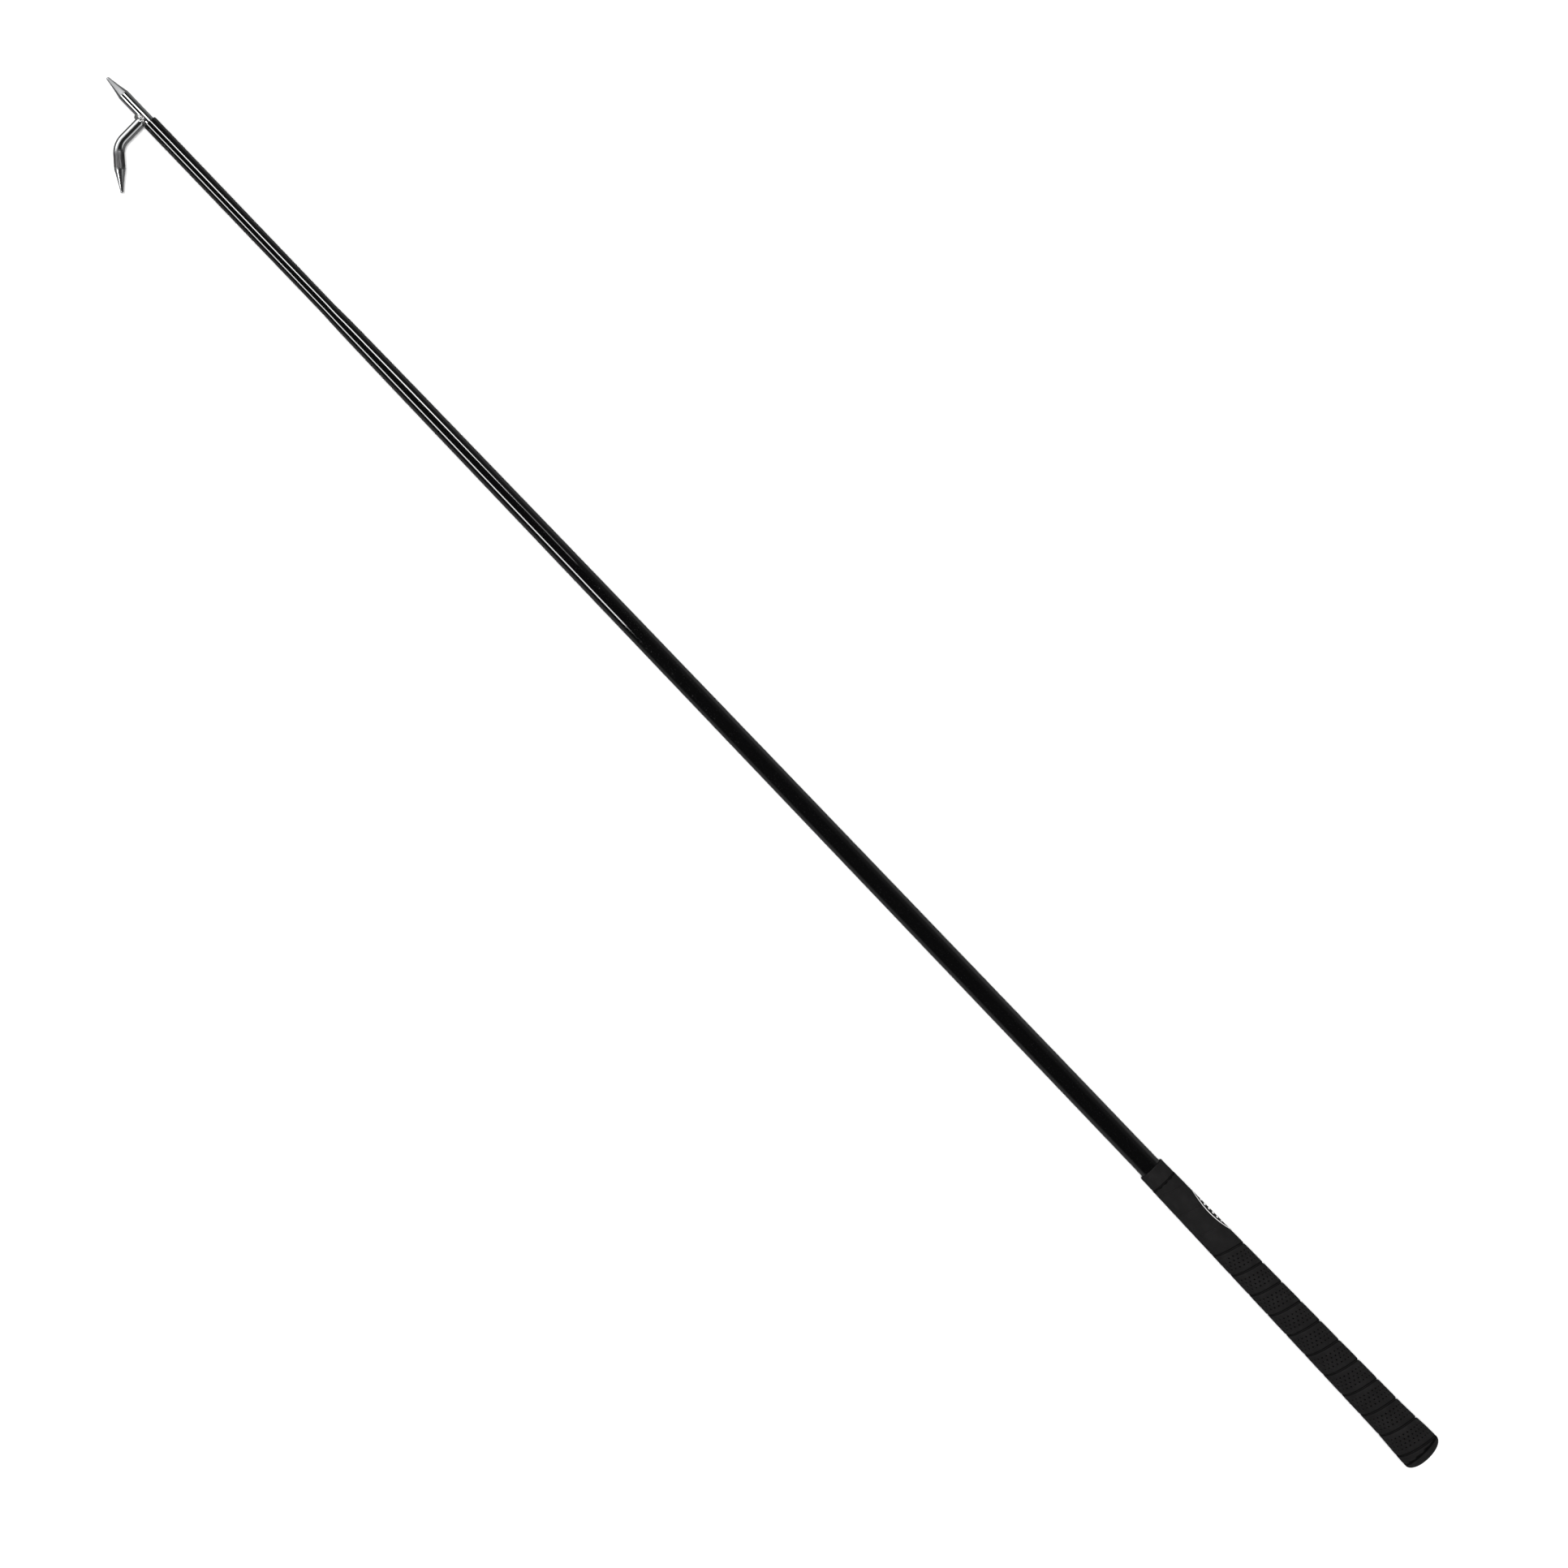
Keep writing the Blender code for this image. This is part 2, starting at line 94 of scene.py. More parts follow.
class Value:
    """A number that comes out of a shader node, for use in Python expressions."""

    def __init__(self, net: "Network", socket: bpy.types.NodeSocket) -> None:
        """Wrap one output socket of a node tree."""
        self.net = net
        self.socket = socket

    def _math(self, operation: str, *operands: Union["Value", float]) -> "Value":
        """Add a Math node and return its result."""
        return self.net.node("ShaderNodeMath", {"operation": operation}, dict(enumerate(operands)))

    def __add__(self, other: Union["Value", float]) -> "Value":
        """Sum."""
        return self._math("ADD", self, other)

    __radd__ = __add__

    def __sub__(self, other: Union["Value", float]) -> "Value":
        """Difference."""
        return self._math("SUBTRACT", self, other)

    def __rsub__(self, other: float) -> "Value":
        """Difference with a plain number first."""
        return self._math("SUBTRACT", other, self)

    def __mul__(self, other: Union["Value", float]) -> "Value":
        """Product."""
        return self._math("MULTIPLY", self, other)

    __rmul__ = __mul__

    def __truediv__(self, other: Union["Value", float]) -> "Value":
        """Quotient."""
        return self._math("DIVIDE", self, other)

    def __pow__(self, other: Union["Value", float]) -> "Value":
        """Power."""
        return self._math("POWER", self, other)

    def __abs__(self) -> "Value":
        """Size without sign."""
        return self._math("ABSOLUTE", self)

    def at_most(self, other: Union["Value", float]) -> "Value":
        """The smaller of two values."""
        return self._math("MINIMUM", self, other)

    def angle_to(self, other: "Value") -> "Value":
        """The angle whose sine is this value and whose cosine is the other one."""
        return self._math("ARCTAN2", self, other)

    def wrapped(self, period: float) -> "Value":
        """The value folded into 0 to a period."""
        return self._math("WRAP", self, period, 0.0)

    def rise(self, low: float, high: float, start: float = 0.0, end: float = 1.0) -> "Value":
        """Go smoothly from start at low to end at high.

        Args:
            low: value at which the rise starts.
            high: value at which it ends.
            start: result at low and below.
            end: result at high and above.

        Returns:
            The risen value.
        """
        settings = {"interpolation_type": "SMOOTHSTEP"}
        limits = {"Value": self, "From Min": low, "From Max": high, "To Min": start, "To Max": end}
        return self.net.node("ShaderNodeMapRange", settings, limits)


class Network:
    """The node tree of one finish, with the few node patterns that the finishes share."""

    OBJECT_OUTPUT = 3

    def __init__(self, tree: bpy.types.NodeTree) -> None:
        """Work on a node tree."""
        self.tree = tree

    def feed(self, socket: bpy.types.NodeSocket, value: Any) -> None:
        """Link a value to a socket, or set the socket to a constant.

        Args:
            socket: an input of a node.
            value: the Value to link, or the constant.
        """
        if isinstance(value, Value):
            self.tree.links.new(value.socket, socket)
        else:
            socket.default_value = value

    def node(
        self,
        kind: str,
        settings: Optional[Mapping[str, Any]] = None,
        inputs: Optional[Mapping[Union[int, str], Any]] = None,
        output: Union[int, str] = 0,
    ) -> Value:
        """Add a node.

        Args:
            kind: the node's type.
            settings: attributes of the node, set first.
            inputs: values or links of its sockets, by name or number.
            output: the socket to return.

        Returns:
            One output of the node.
        """
        made = self.tree.nodes.new(kind)
        for name, value in (settings or {}).items():
            setattr(made, name, value)
        for key, value in (inputs or {}).items():
            self.feed(made.inputs[key], value)
        return Value(self, made.outputs[output])

    def place(self, scale: tuple[float, float, float] = (1.0, 1.0, 1.0), turn: float = 0.0) -> Value:
        """Object coordinates, turned about Z and then scaled along each axis.

        Args:
            scale: factors along X, Y and Z.
            turn: angle about Z.

        Returns:
            The coordinates as one vector.
        """
        spot = self.node("ShaderNodeTexCoord", output=self.OBJECT_OUTPUT)
        if turn:
            spot = self.node("ShaderNodeMapping", inputs={"Vector": spot, "Rotation": (0.0, 0.0, turn)})
        return self.node("ShaderNodeMapping", inputs={"Vector": spot, "Scale": scale})

    def axes(self) -> tuple[Value, Value, Value]:
        """Object coordinates as three numbers.

        Returns:
            X, Y and Z.
        """
        spot = self.node("ShaderNodeTexCoord", output=self.OBJECT_OUTPUT)
        split = self.node("ShaderNodeSeparateXYZ", inputs={0: spot})
        node = split.socket.node
        return tuple(Value(self, node.outputs[index]) for index in range(3))

    def attribute(self, name: str) -> Value:
        """A number stored on the piece's points."""
        return self.node("ShaderNodeAttribute", {"attribute_name": name}, output="Fac")

    def grain(self, spot: Value, scale: float, detail: float = 2.0, roughness: float = 0.5) -> Value:
        """Cloudy noise around 0.5."""
        inputs = {"Vector": spot, "Scale": scale, "Detail": detail, "Roughness": roughness}
        return self.node("ShaderNodeTexNoise", inputs=inputs)

    def rings(self, distance: Value, scale: float) -> Value:
        """Noise that changes only with a distance, as marks left by turning do."""
        inputs = {"W": distance, "Scale": scale, "Detail": 3.0}
        return self.node("ShaderNodeTexNoise", {"noise_dimensions": "1D"}, inputs)

    def mix(self, share: Value, first: Union[Value, Colour], second: Union[Value, Colour]) -> Value:
        """Go from a first colour to a second one.

        Args:
            share: how much of the second colour there is, from 0 to 1.
            first: the colour at 0.
            second: the colour at 1.

        Returns:
            The mixed colour.
        """
        colours = [end if isinstance(end, Value) else (*end, 1.0) for end in (first, second)]
        inputs = {0: share, 6: colours[0], 7: colours[1]}
        return self.node("ShaderNodeMix", {"data_type": "RGBA"}, inputs, output=2)

    def bump(self, height: Value, distance: float) -> Value:
        """Relief from a height between 0 and 1, of a depth in metres."""
        inputs = {"Strength": 1.0, "Distance": distance, "Height": height}
        return self.node("ShaderNodeBump", inputs=inputs)

    def coat(self, colour: Value, roughness: Value, height: Value, depth: float) -> dict[str, Any]:
        """What a finish most often changes over its surface: colour, roughness and relief."""
        return {"Base Color": colour, "Roughness": roughness, "Normal": self.bump(height, depth)}


# Finishes ---------------------------------------------------------------------------------------


@dataclass(frozen=True)
class Finish:
    """A material: its even values, and what changes over the surface."""

    name: str
    colour: Colour
    roughness: float
    metallic: float = 0.0
    ior: float = 1.5

    def material(self) -> bpy.types.Material:
        """Make the material, once for all the pieces that have it.

        Returns:
            The material.
        """
        if self.name in bpy.data.materials:
            return bpy.data.materials[self.name]
        made = bpy.data.materials.new(self.name)
        made.use_nodes = True
        net = Network(made.node_tree)
        shader = made.node_tree.nodes["Principled BSDF"]
        even = {
            "Base Color": (*self.colour, 1.0),
            "Roughness": self.roughness,
            "Metallic": self.metallic,
            "IOR": self.ior,
        }
        for name, value in {**even, **self.surface(net)}.items():
            net.feed(shader.inputs[name], value)
        return made

    def surface(self, net: Network) -> dict[str, Any]:
        """What changes over the surface, by socket name."""
        return {}


@dataclass(frozen=True)
class TubeGloss(Finish):
    """Sprayed gloss black over a composite tube: long hairlines, a little dust, a faint orange peel."""

    haze_scale: float = 45.0
    hairline_scale: float = 2600.0
    dust_scale: float = 2400.0
    dust_colour: Colour = (0.012, 0.012, 0.012)
    peel_scale: float = 260.0
    peel_depth: float = 0.0000025

    def surface(self, net: Network) -> dict[str, Any]:
        """Roughness from haze, hairlines and dust, and a shallow peel.

        Args:
            net: the material's node tree.

        Returns:
            What changes over the surface, by socket name.
        """
        haze = net.grain(net.place(), self.haze_scale, 3.0)
        hairlines = net.grain(net.place((0.012, 1.0, 1.0)), self.hairline_scale, 1.0).rise(0.66, 0.78)
        dust = net.grain(net.place(), self.dust_scale, 0.0).rise(0.76, 0.82)
        roughness = self.roughness + haze * 0.03 + hairlines * 0.06 + dust * 0.25
        colour = net.mix(dust * 0.6, self.colour, self.dust_colour)
        peel = net.grain(net.place((0.5, 1.0, 1.0)), self.peel_scale, 1.0)
        return net.coat(colour, roughness, peel, self.peel_depth)


@dataclass(frozen=True)
class BrightSteel(Finish):
    """Polished plate over ground rod.

    There are ring marks on the points, and a scuffed stretch behind the hook's point.
    """

    point_length: float = 0.0152
    ring_colour: Colour = (0.55, 0.55, 0.57)
    scuff_colour: Colour = (0.13, 0.127, 0.13)
    ring_scale: float = 5200.0
    polish_scale: float = 320.0
    streak_scale: float = 2600.0
    relief_depth: float = 0.00001

    def surface(self, net: Network) -> dict[str, Any]:
        """Colour, roughness and relief from polish, ring marks and scuffs.

        Args:
            net: the material's node tree.

        Returns:
            What changes over the surface, by socket name.
        """
        along = net.attribute(ALONG)
        scuffed = net.attribute(SCUFFED)
        ground = 1.0 - along.rise(self.point_length * 0.92, self.point_length * 1.04)
        rings = net.rings(along, self.ring_scale)
        polish = net.grain(net.place(), self.polish_scale, 3.0)
        streaks = net.grain(net.place((0.06, 1.0, 1.0), SCUFF_TURN), self.streak_scale, 2.0)
        worn = scuffed * streaks.rise(0.30, 0.62, 0.72, 1.0)
        colour = net.mix(ground * rings.rise(0.35, 0.7) * 0.35, self.colour, self.ring_colour)
        colour = net.mix(worn, colour, self.scuff_colour)
        roughness = self.roughness + polish * 0.04 + ground * (0.08 + rings * 0.12)
        roughness = roughness + scuffed * (0.32 + streaks * 0.16)
        relief = ground * rings * 0.6 + scuffed * streaks
        return net.coat(colour, roughness, relief, self.relief_depth)


@dataclass(frozen=True)
class WeldSteel(Finish):
    """Plated weld metal: brighter crests, duller hollows, small pits."""

    hollow_colour: Colour = (0.36, 0.34, 0.32)
    cast_scale: float = 900.0
    pit_scale: float = 3800.0
    relief_depth: float = 0.00004

    def surface(self, net: Network) -> dict[str, Any]:
        """Colour, roughness and relief of the bead.

        Args:
            net: the material's node tree.

        Returns:
            What changes over the surface, by socket name.
        """
        cast = net.grain(net.place(), self.cast_scale, 4.0, 0.6)
        pits = net.grain(net.place(), self.pit_scale, 2.0).rise(0.62, 0.75)
        colour = net.mix(cast.rise(0.35, 0.65) * 0.45 + pits * 0.4, self.colour, self.hollow_colour)
        roughness = self.roughness + cast * 0.12 + pits * 0.25
        relief = cast * 0.8 - pits * 0.6
        return net.coat(colour, roughness, relief, self.relief_depth)


@dataclass(frozen=True)
class CuredEpoxy(Finish):
    """Amber adhesive with trapped bubbles."""

    cloud_colour: Colour = (0.72, 0.58, 0.33)
    cloud_scale: float = 180.0
    bubble_scale: float = 2100.0
    relief_depth: float = 0.00005

    def surface(self, net: Network) -> dict[str, Any]:
        """Colour and roughness of the cured resin.

        Args:
            net: the material's node tree.

        Returns:
            What changes over the surface, by socket name.
        """
        cloud = net.grain(net.place(), self.cloud_scale, 3.0)
        bubbles = net.grain(net.place(), self.bubble_scale, 0.0).rise(0.70, 0.78)
        colour = net.mix(cloud * 0.6 + bubbles * 0.4, self.colour, self.cloud_colour)
        relief = cloud * 0.3 - bubbles
        return net.coat(colour, self.roughness + bubbles * 0.3, relief, self.relief_depth)


@dataclass(frozen=True)
class CrepeTape(Finish):
    """Creped paper tape."""

    fibre_colour: Colour = (0.62, 0.55, 0.41)
    crepe_scale: float = 2600.0
    fibre_scale: float = 700.0
    relief_depth: float = 0.00006

    def surface(self, net: Network) -> dict[str, Any]:
        """Colour and crepe of the tape.

        Args:
            net: the material's node tree.

        Returns:
            What changes over the surface, by socket name.
        """
        crepe = net.grain(net.place((1.0, 0.25, 0.25)), self.crepe_scale, 3.0)
        fibre = net.grain(net.place(), self.fibre_scale, 4.0, 0.6)
        colour = net.mix(fibre * 0.5, self.colour, self.fibre_colour)
        return {"Base Color": colour, "Normal": net.bump(crepe, self.relief_depth)}


@dataclass(frozen=True)
class BlackRubber(Finish):
    """Moulded rubber: fine grain and faint bloom, with painted shade in seams and holes."""

    bloom_colour: Colour = (0.012, 0.0115, 0.0117)
    bloom_scale: float = 130.0
    grain_scale: float = 4200.0
    grain_depth: float = 0.00003
    # colour of the painted shade in seams, lips and holes
    painted_shade_colour: Colour = (0.0006, 0.0006, 0.0006)

    def surface(self, net: Network) -> dict[str, Any]:
        """Colour, roughness and grain.

        Args:
            net: the material's node tree.

        Returns:
            What changes over the surface, by socket name.
        """
        bloom = net.grain(net.place(), self.bloom_scale, 4.0, 0.6)
        grain = net.grain(net.place(), self.grain_scale, 3.0, 0.6)
        colour = net.mix(bloom.rise(0.35, 0.75) * 0.5 + grain * 0.2, self.colour, self.bloom_colour)
        # Painted shade: seams, lips and holes are darkened by the stored share of shade.
        sunk = net.attribute(SUNK).rise(0.08, 0.45)
        colour = net.mix(sunk, colour, self.painted_shade_colour)
        roughness = self.roughness + bloom * 0.08 - grain * 0.08 + sunk * 0.3
        return net.coat(colour, roughness, grain, self.grain_depth)


@dataclass(frozen=True)
class PrintedWrap(BlackRubber):
    """The wrap's tacky face, with a plain oval mark printed near the mouth.

    The mark is a ring around a row of bars. It sits on the -Y side of the grip. A reach of 1 is
    the mark's outline, and each edge is given by where it starts and where it ends.
    """

    mark_station: float = 0.2098
    mark_half_length: float = 0.0190
    mark_half_width: float = 0.0092
    mark_middle: float = math.radians(-102.0)
    mark_radius: float = 0.0099
    ring_reach: float = 0.950
    ring_edge: tuple[float, float] = (0.030, 0.042)
    inner_edge: tuple[float, float] = (0.74, 0.77)
    bar_pitch: float = 0.20
    bar_edge: tuple[float, float] = (0.034, 0.044)
    bar_offset: float = 5.0
    row_edge: tuple[float, float] = (0.66, 0.70)
    wear_scale: float = 2300.0
    ink: Colour = (0.86, 0.86, 0.86)

    def mark(self, net: Network) -> Value:
        """Work out where the ink lies.

        Args:
            net: the material's node tree.

        Returns:
            How much ink there is, from 0 to 1.
        """
        station, across, up = net.axes()
        turn = (-1.0 * across).angle_to(up) + self.mark_middle
        over = (station - self.mark_station) / self.mark_half_length
        round_it = turn * (self.mark_radius / self.mark_half_width)
        reach = (over * over + round_it * round_it) ** 0.5
        outer_ring = 1.0 - abs(reach - self.ring_reach).rise(*self.ring_edge)
        inside = 1.0 - reach.rise(*self.inner_edge)
        in_bar = abs((over + self.bar_offset).wrapped(self.bar_pitch) - self.bar_pitch / 2)
        bars = in_bar.rise(*self.bar_edge, 1.0, 0.0)
        row = 1.0 - abs(round_it).rise(*self.row_edge)
        ink = (outer_ring + inside * bars * row).at_most(1.0)
        worn = net.grain(net.place(), self.wear_scale, 3.0).rise(0.30, 0.50, 0.55, 1.0)
        return ink * worn

    def surface(self, net: Network) -> dict[str, Any]:
        """The rubber's surface with the ink over it.

        Args:
            net: the material's node tree.

        Returns:
            What changes over the surface, by socket name.
        """
        rubber = super().surface(net)
        ink = self.mark(net)
        rubber["Base Color"] = net.mix(ink, rubber["Base Color"], self.ink)
        rubber["Roughness"] = rubber["Roughness"] - ink * 0.15
        return rubber


@dataclass(frozen=True)
class PalePaper(Finish):
    """The studio's even pale sweep."""

    mottle_scale: float = 1.5
    mottle_colour: Colour = (0.90, 0.90, 0.90)

    def surface(self, net: Network) -> dict[str, Any]:
        """A barely visible mottle."""
        mottle = net.grain(net.place(), self.mottle_scale, 2.0)
        return {"Base Color": net.mix(mottle * 0.4, self.colour, self.mottle_colour)}


# Mesh work --------------------------------------------------------------------------------------


def points_of(made: Iterable[Any]) -> list[bmesh.types.BMVert]:
    """The points among what a bmesh operator made."""
    return [item for item in made if isinstance(item, bmesh.types.BMVert)]


def edges_of(made: Iterable[Any]) -> list[bmesh.types.BMEdge]:
    """The edges among what a bmesh operator made."""
    return [item for item in made if isinstance(item, bmesh.types.BMEdge)]


class Workpiece:
    """A mesh being made with bmesh operators, from the blank to the finished object."""

    WELD_DISTANCE = 0.0000002
    SHARP_ANGLE = math.radians(50.0)

    def __init__(self) -> None:
        """Start with nothing."""
        self.bm = bmesh.new()

    def everything(self) -> list[Any]:
        """All points, edges and faces."""
        return self.bm.verts[:] + self.bm.edges[:] + self.bm.faces[:]

    def turn_on_lathe(self, outline: Outline, segments: int, closed: bool) -> None:
        """Turn an outline about X.

        Args:
            outline: (station, radius) points along the outside and back.
            segments: faces around the piece.
            closed: whether the last point is joined to the first one.
        """
        bm = self.bm
        points = [bm.verts.new((station, 0.0, radius)) for station, radius in outline]
        pairs = list(zip(points, points[1:]))
        if closed:
            pairs.append((points[-1], points[0]))
        edges = [bm.edges.new(pair) for pair in pairs]
        bmesh.ops.spin(
            bm,
            geom=points + edges,
            cent=(0.0, 0.0, 0.0),
            axis=(1.0, 0.0, 0.0),
            angle=2.0 * math.pi,
            steps=segments,
            use_merge=True,
        )
        self.merge()

    @staticmethod
    def supported(outline: Outline, stride: float, margin: float = 0.0006) -> list[tuple[float, float]]:
        """Add points to the long runs of an outline, so that its shading stays straight.

        Args:
            outline: (station, radius) points.
            stride: longest run without a point.
            margin: place of the first and last added point, from the ends of a run.

        Returns:
            The outline with the points added.
        """
        filled = [outline[0]]
        for (start, low), (end, high) in zip(outline, outline[1:]):
            run = math.hypot(end - start, high - low)
            if run > 4.0 * margin:
                count = math.ceil((run - 2.0 * margin) / stride)
                for step in range(count + 1):
                    share = (margin + (run - 2.0 * margin) * step / count) / run
                    filled.append((start + (end - start) * share, low + (high - low) * share))
            filled.append((end, high))
        return filled

    def merge(self) -> None:
        """Merge points that fell together, and point all faces outwards."""
        bmesh.ops.remove_doubles(self.bm, verts=self.bm.verts, dist=self.WELD_DISTANCE)
        bmesh.ops.recalc_face_normals(self.bm, faces=self.bm.faces)

    def round_edges(self, width: float, segments: int = 3) -> None:
        """Round every sharp edge.

        Args:
            width: how far the rounding reaches from the edge.
            segments: faces across the rounding.
        """
        sharp = [edge for edge in self.bm.edges if edge.calc_face_angle(0.0) > self.SHARP_ANGLE]
        bmesh.ops.bevel(
            self.bm,
            geom=sharp,
            offset=width,
            offset_type="OFFSET",
            affect="EDGES",
            segments=segments,
            profile=0.5,
            material=-1,
            clamp_overlap=True,
        )

    def sweep(self, frames: Sequence[Matrix], segments: int, ring: bool) -> list[list[bmesh.types.BMVert]]:
        """Sweep a round section through a row of frames.

        Args:
            frames: place, direction (Z) and size of the section at each step.
            segments: points around the section.
            ring: whether the last section joins the first one.

        Returns:
            The points of each section, in order.
        """
        bm = self.bm
        circle = {"segments": segments, "radius": 1.0, "matrix": frames[0]}
        section = bmesh.ops.create_circle(bm, cap_ends=False, **circle)["verts"]
        sections = [section]
        edges = list({edge for vert in section for edge in vert.link_edges})
        first_edges = edges
        for before, after in zip(frames, frames[1:]):
            made = bmesh.ops.extrude_edge_only(bm, edges=edges)["geom"]
            section = points_of(made)
            kept = set(section)
            edges = [edge for edge in edges_of(made) if all(vert in kept for vert in edge.verts)]
            bmesh.ops.transform(bm, matrix=after @ before.inverted(), verts=section)
            sections.append(section)
        if ring:
            bmesh.ops.bridge_loops(bm, edges=first_edges + edges)
        return sections

    def close_ring(self, section: Sequence[bmesh.types.BMVert]) -> None:
        """Close an open round end with one face.

        Args:
            section: the points of the round end.
        """
        kept = set(section)
        linked = {edge for vert in section for edge in vert.link_edges}
        rim = [edge for edge in linked if all(end in kept for end in edge.verts)]
        bmesh.ops.edgeloop_fill(self.bm, edges=rim)

    def draw_to_point(self, section: Sequence[bmesh.types.BMVert], point: Vector) -> None:
        """Draw a round end together into one point."""
        bmesh.ops.pointmerge(self.bm, verts=list(section), merge_co=point)

    def trim(self, station: float, side: Side) -> None:
        """Cut the piece square at a station and close the cut.

        Args:
            station: where the cut is.
            side: the side of the cut that is dropped.
        """
        made = bmesh.ops.bisect_plane(
            self.bm,
            geom=self.everything(),
            dist=CUT_TOLERANCE,
            plane_co=(station, 0.0, 0.0),
            plane_no=(side.value, 0.0, 0.0),
            clear_outer=True,
        )
        bmesh.ops.edgeloop_fill(self.bm, edges=edges_of(made["geom_cut"]))

    def store(self, name: str, rule: Callable[[Vector], float]) -> None:
        """Store a number on every point.

        Args:
            name: name of the stored number.
            rule: works the number out from where the point is.
        """
        layer = self.bm.verts.layers.float.new(name)
        for vert in self.bm.verts:
            vert[layer] = rule(vert.co)

    def finish(self, name: str, finish: Finish, crease: float = math.radians(32.0)) -> bpy.types.Object:
        """Turn the work into a shaded object.

        Args:
            name: name of the piece.
            finish: its finish.
            crease: angle above which an edge stays sharp.

        Returns:
            The object, at the origin.
        """
        mesh = bpy.data.meshes.new(name)
        self.bm.to_mesh(mesh)
        self.bm.free()
        mesh.shade_smooth()
        mesh.set_sharp_from_angle(angle=crease)
        mesh.materials.append(finish.material())
        made = bpy.data.objects.new(name, mesh)
        bpy.context.scene.collection.objects.link(made)
        return made


def cut_with(piece: bpy.types.Object, cutter: bpy.types.Object) -> None:
    """Subtract a cutter from a piece for good, and remove the cutter.

    Args:
        piece: the piece that is cut.
        cutter: the closed shape that is taken away.
    """
    boolean = piece.modifiers.new("cut", "BOOLEAN")
    boolean.operation = "DIFFERENCE"
    boolean.solver = "EXACT"
    boolean.object = cutter
    graph = bpy.context.evaluated_depsgraph_get()
    old = piece.data
    cut = bpy.data.meshes.new_from_object(piece.evaluated_get(graph), depsgraph=graph)
    piece.modifiers.clear()
    piece.data = cut
    cut.name = piece.name
    bpy.data.meshes.remove(old)
    bpy.data.objects.remove(cutter, do_unlink=True)


def install(piece: bpy.types.Object, node: str, slot: Slot) -> bpy.types.Object:
    """Let a piece stand for a node of the frame, and report it.

    Args:
        piece: the finished piece.
        node: the node that it replaces.
        slot: the material slot that its finish belongs to.

    Returns:
        The piece.
    """
    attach(piece, BODY)
    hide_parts(node)
    LOG.info("%s stands for %s, %d faces, slot %s", piece.name, node, len(piece.data.polygons), slot.value)
    return piece


def redress(node: str, finish: Finish) -> None:
    """Give a node of the frame a better material, and report it.

    Args:
        node: name of the node.
        finish: its new finish.
    """
    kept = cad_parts[node]
    for holder in kept.material_slots:
        holder.material = finish.material()
    LOG.info("%s stays, dressed as %s", node, finish.name)


# The stick --------------------------------------------------------------------------------------


@dataclass
class Shaft:
    """The tapered tube that everything is fixed to."""

    tip_station: float = 1.1796
    butt_station: float = 0.0068
    tip_radius: float = 0.0048
    butt_radius: float = 0.00762
    wall: float = 0.00118
    parallel: float = 0.163
    taper: float = 0.8246
    taper_steps: int = 60
    easing: float = 0.02
    stride: float = 0.012
    edge: float = 0.00015
    segments: int = 128
    finish: Finish = TubeGloss("gloss_black_paint", (0.0006, 0.0006, 0.0007), 0.03, ior=2.2)

    def radius(self, station: float) -> float:
        """Outer radius: parallel tip, square-root taper, parallel butt.

        The taper leaves the tip on a cubic that meets the square root in place and in slope.

        Args:
            station: where along the stick.

        Returns:
            The radius.
        """
        behind = self.tip_station - self.parallel - station
        share = min(max(behind / self.taper, 0.0), 1.0)
        growth = math.sqrt(share)
        if share < self.easing:
            part = share / self.easing
            growth = math.sqrt(self.easing) * part * part * (2.5 - 1.5 * part)
        return self.tip_radius + (self.butt_radius - self.tip_radius) * growth

    def build(self) -> bpy.types.Object:
        """Turn the tube, open at both ends.

        Returns:
            The tube.
        """
        start = self.tip_station - self.parallel
        steps = range(self.taper_steps + 1)
        taper = [start - self.taper * (step / self.taper_steps) ** 2 for step in steps]
        stations = [self.tip_station, *taper, self.butt_station]
        outside = [(station, self.radius(station)) for station in stations]
        outside = Workpiece.supported(outside, self.stride)
        bore = [(station, self.radius(station) - self.wall) for station in reversed(stations)]
        work = Workpiece()
        work.turn_on_lathe(outside + bore, self.segments, closed=True)
        work.round_edges(self.edge)
        tube = work.finish("tube_body", self.finish)
        return install(tube, "shaft_tube", Slot.TUBE_GLOSS)


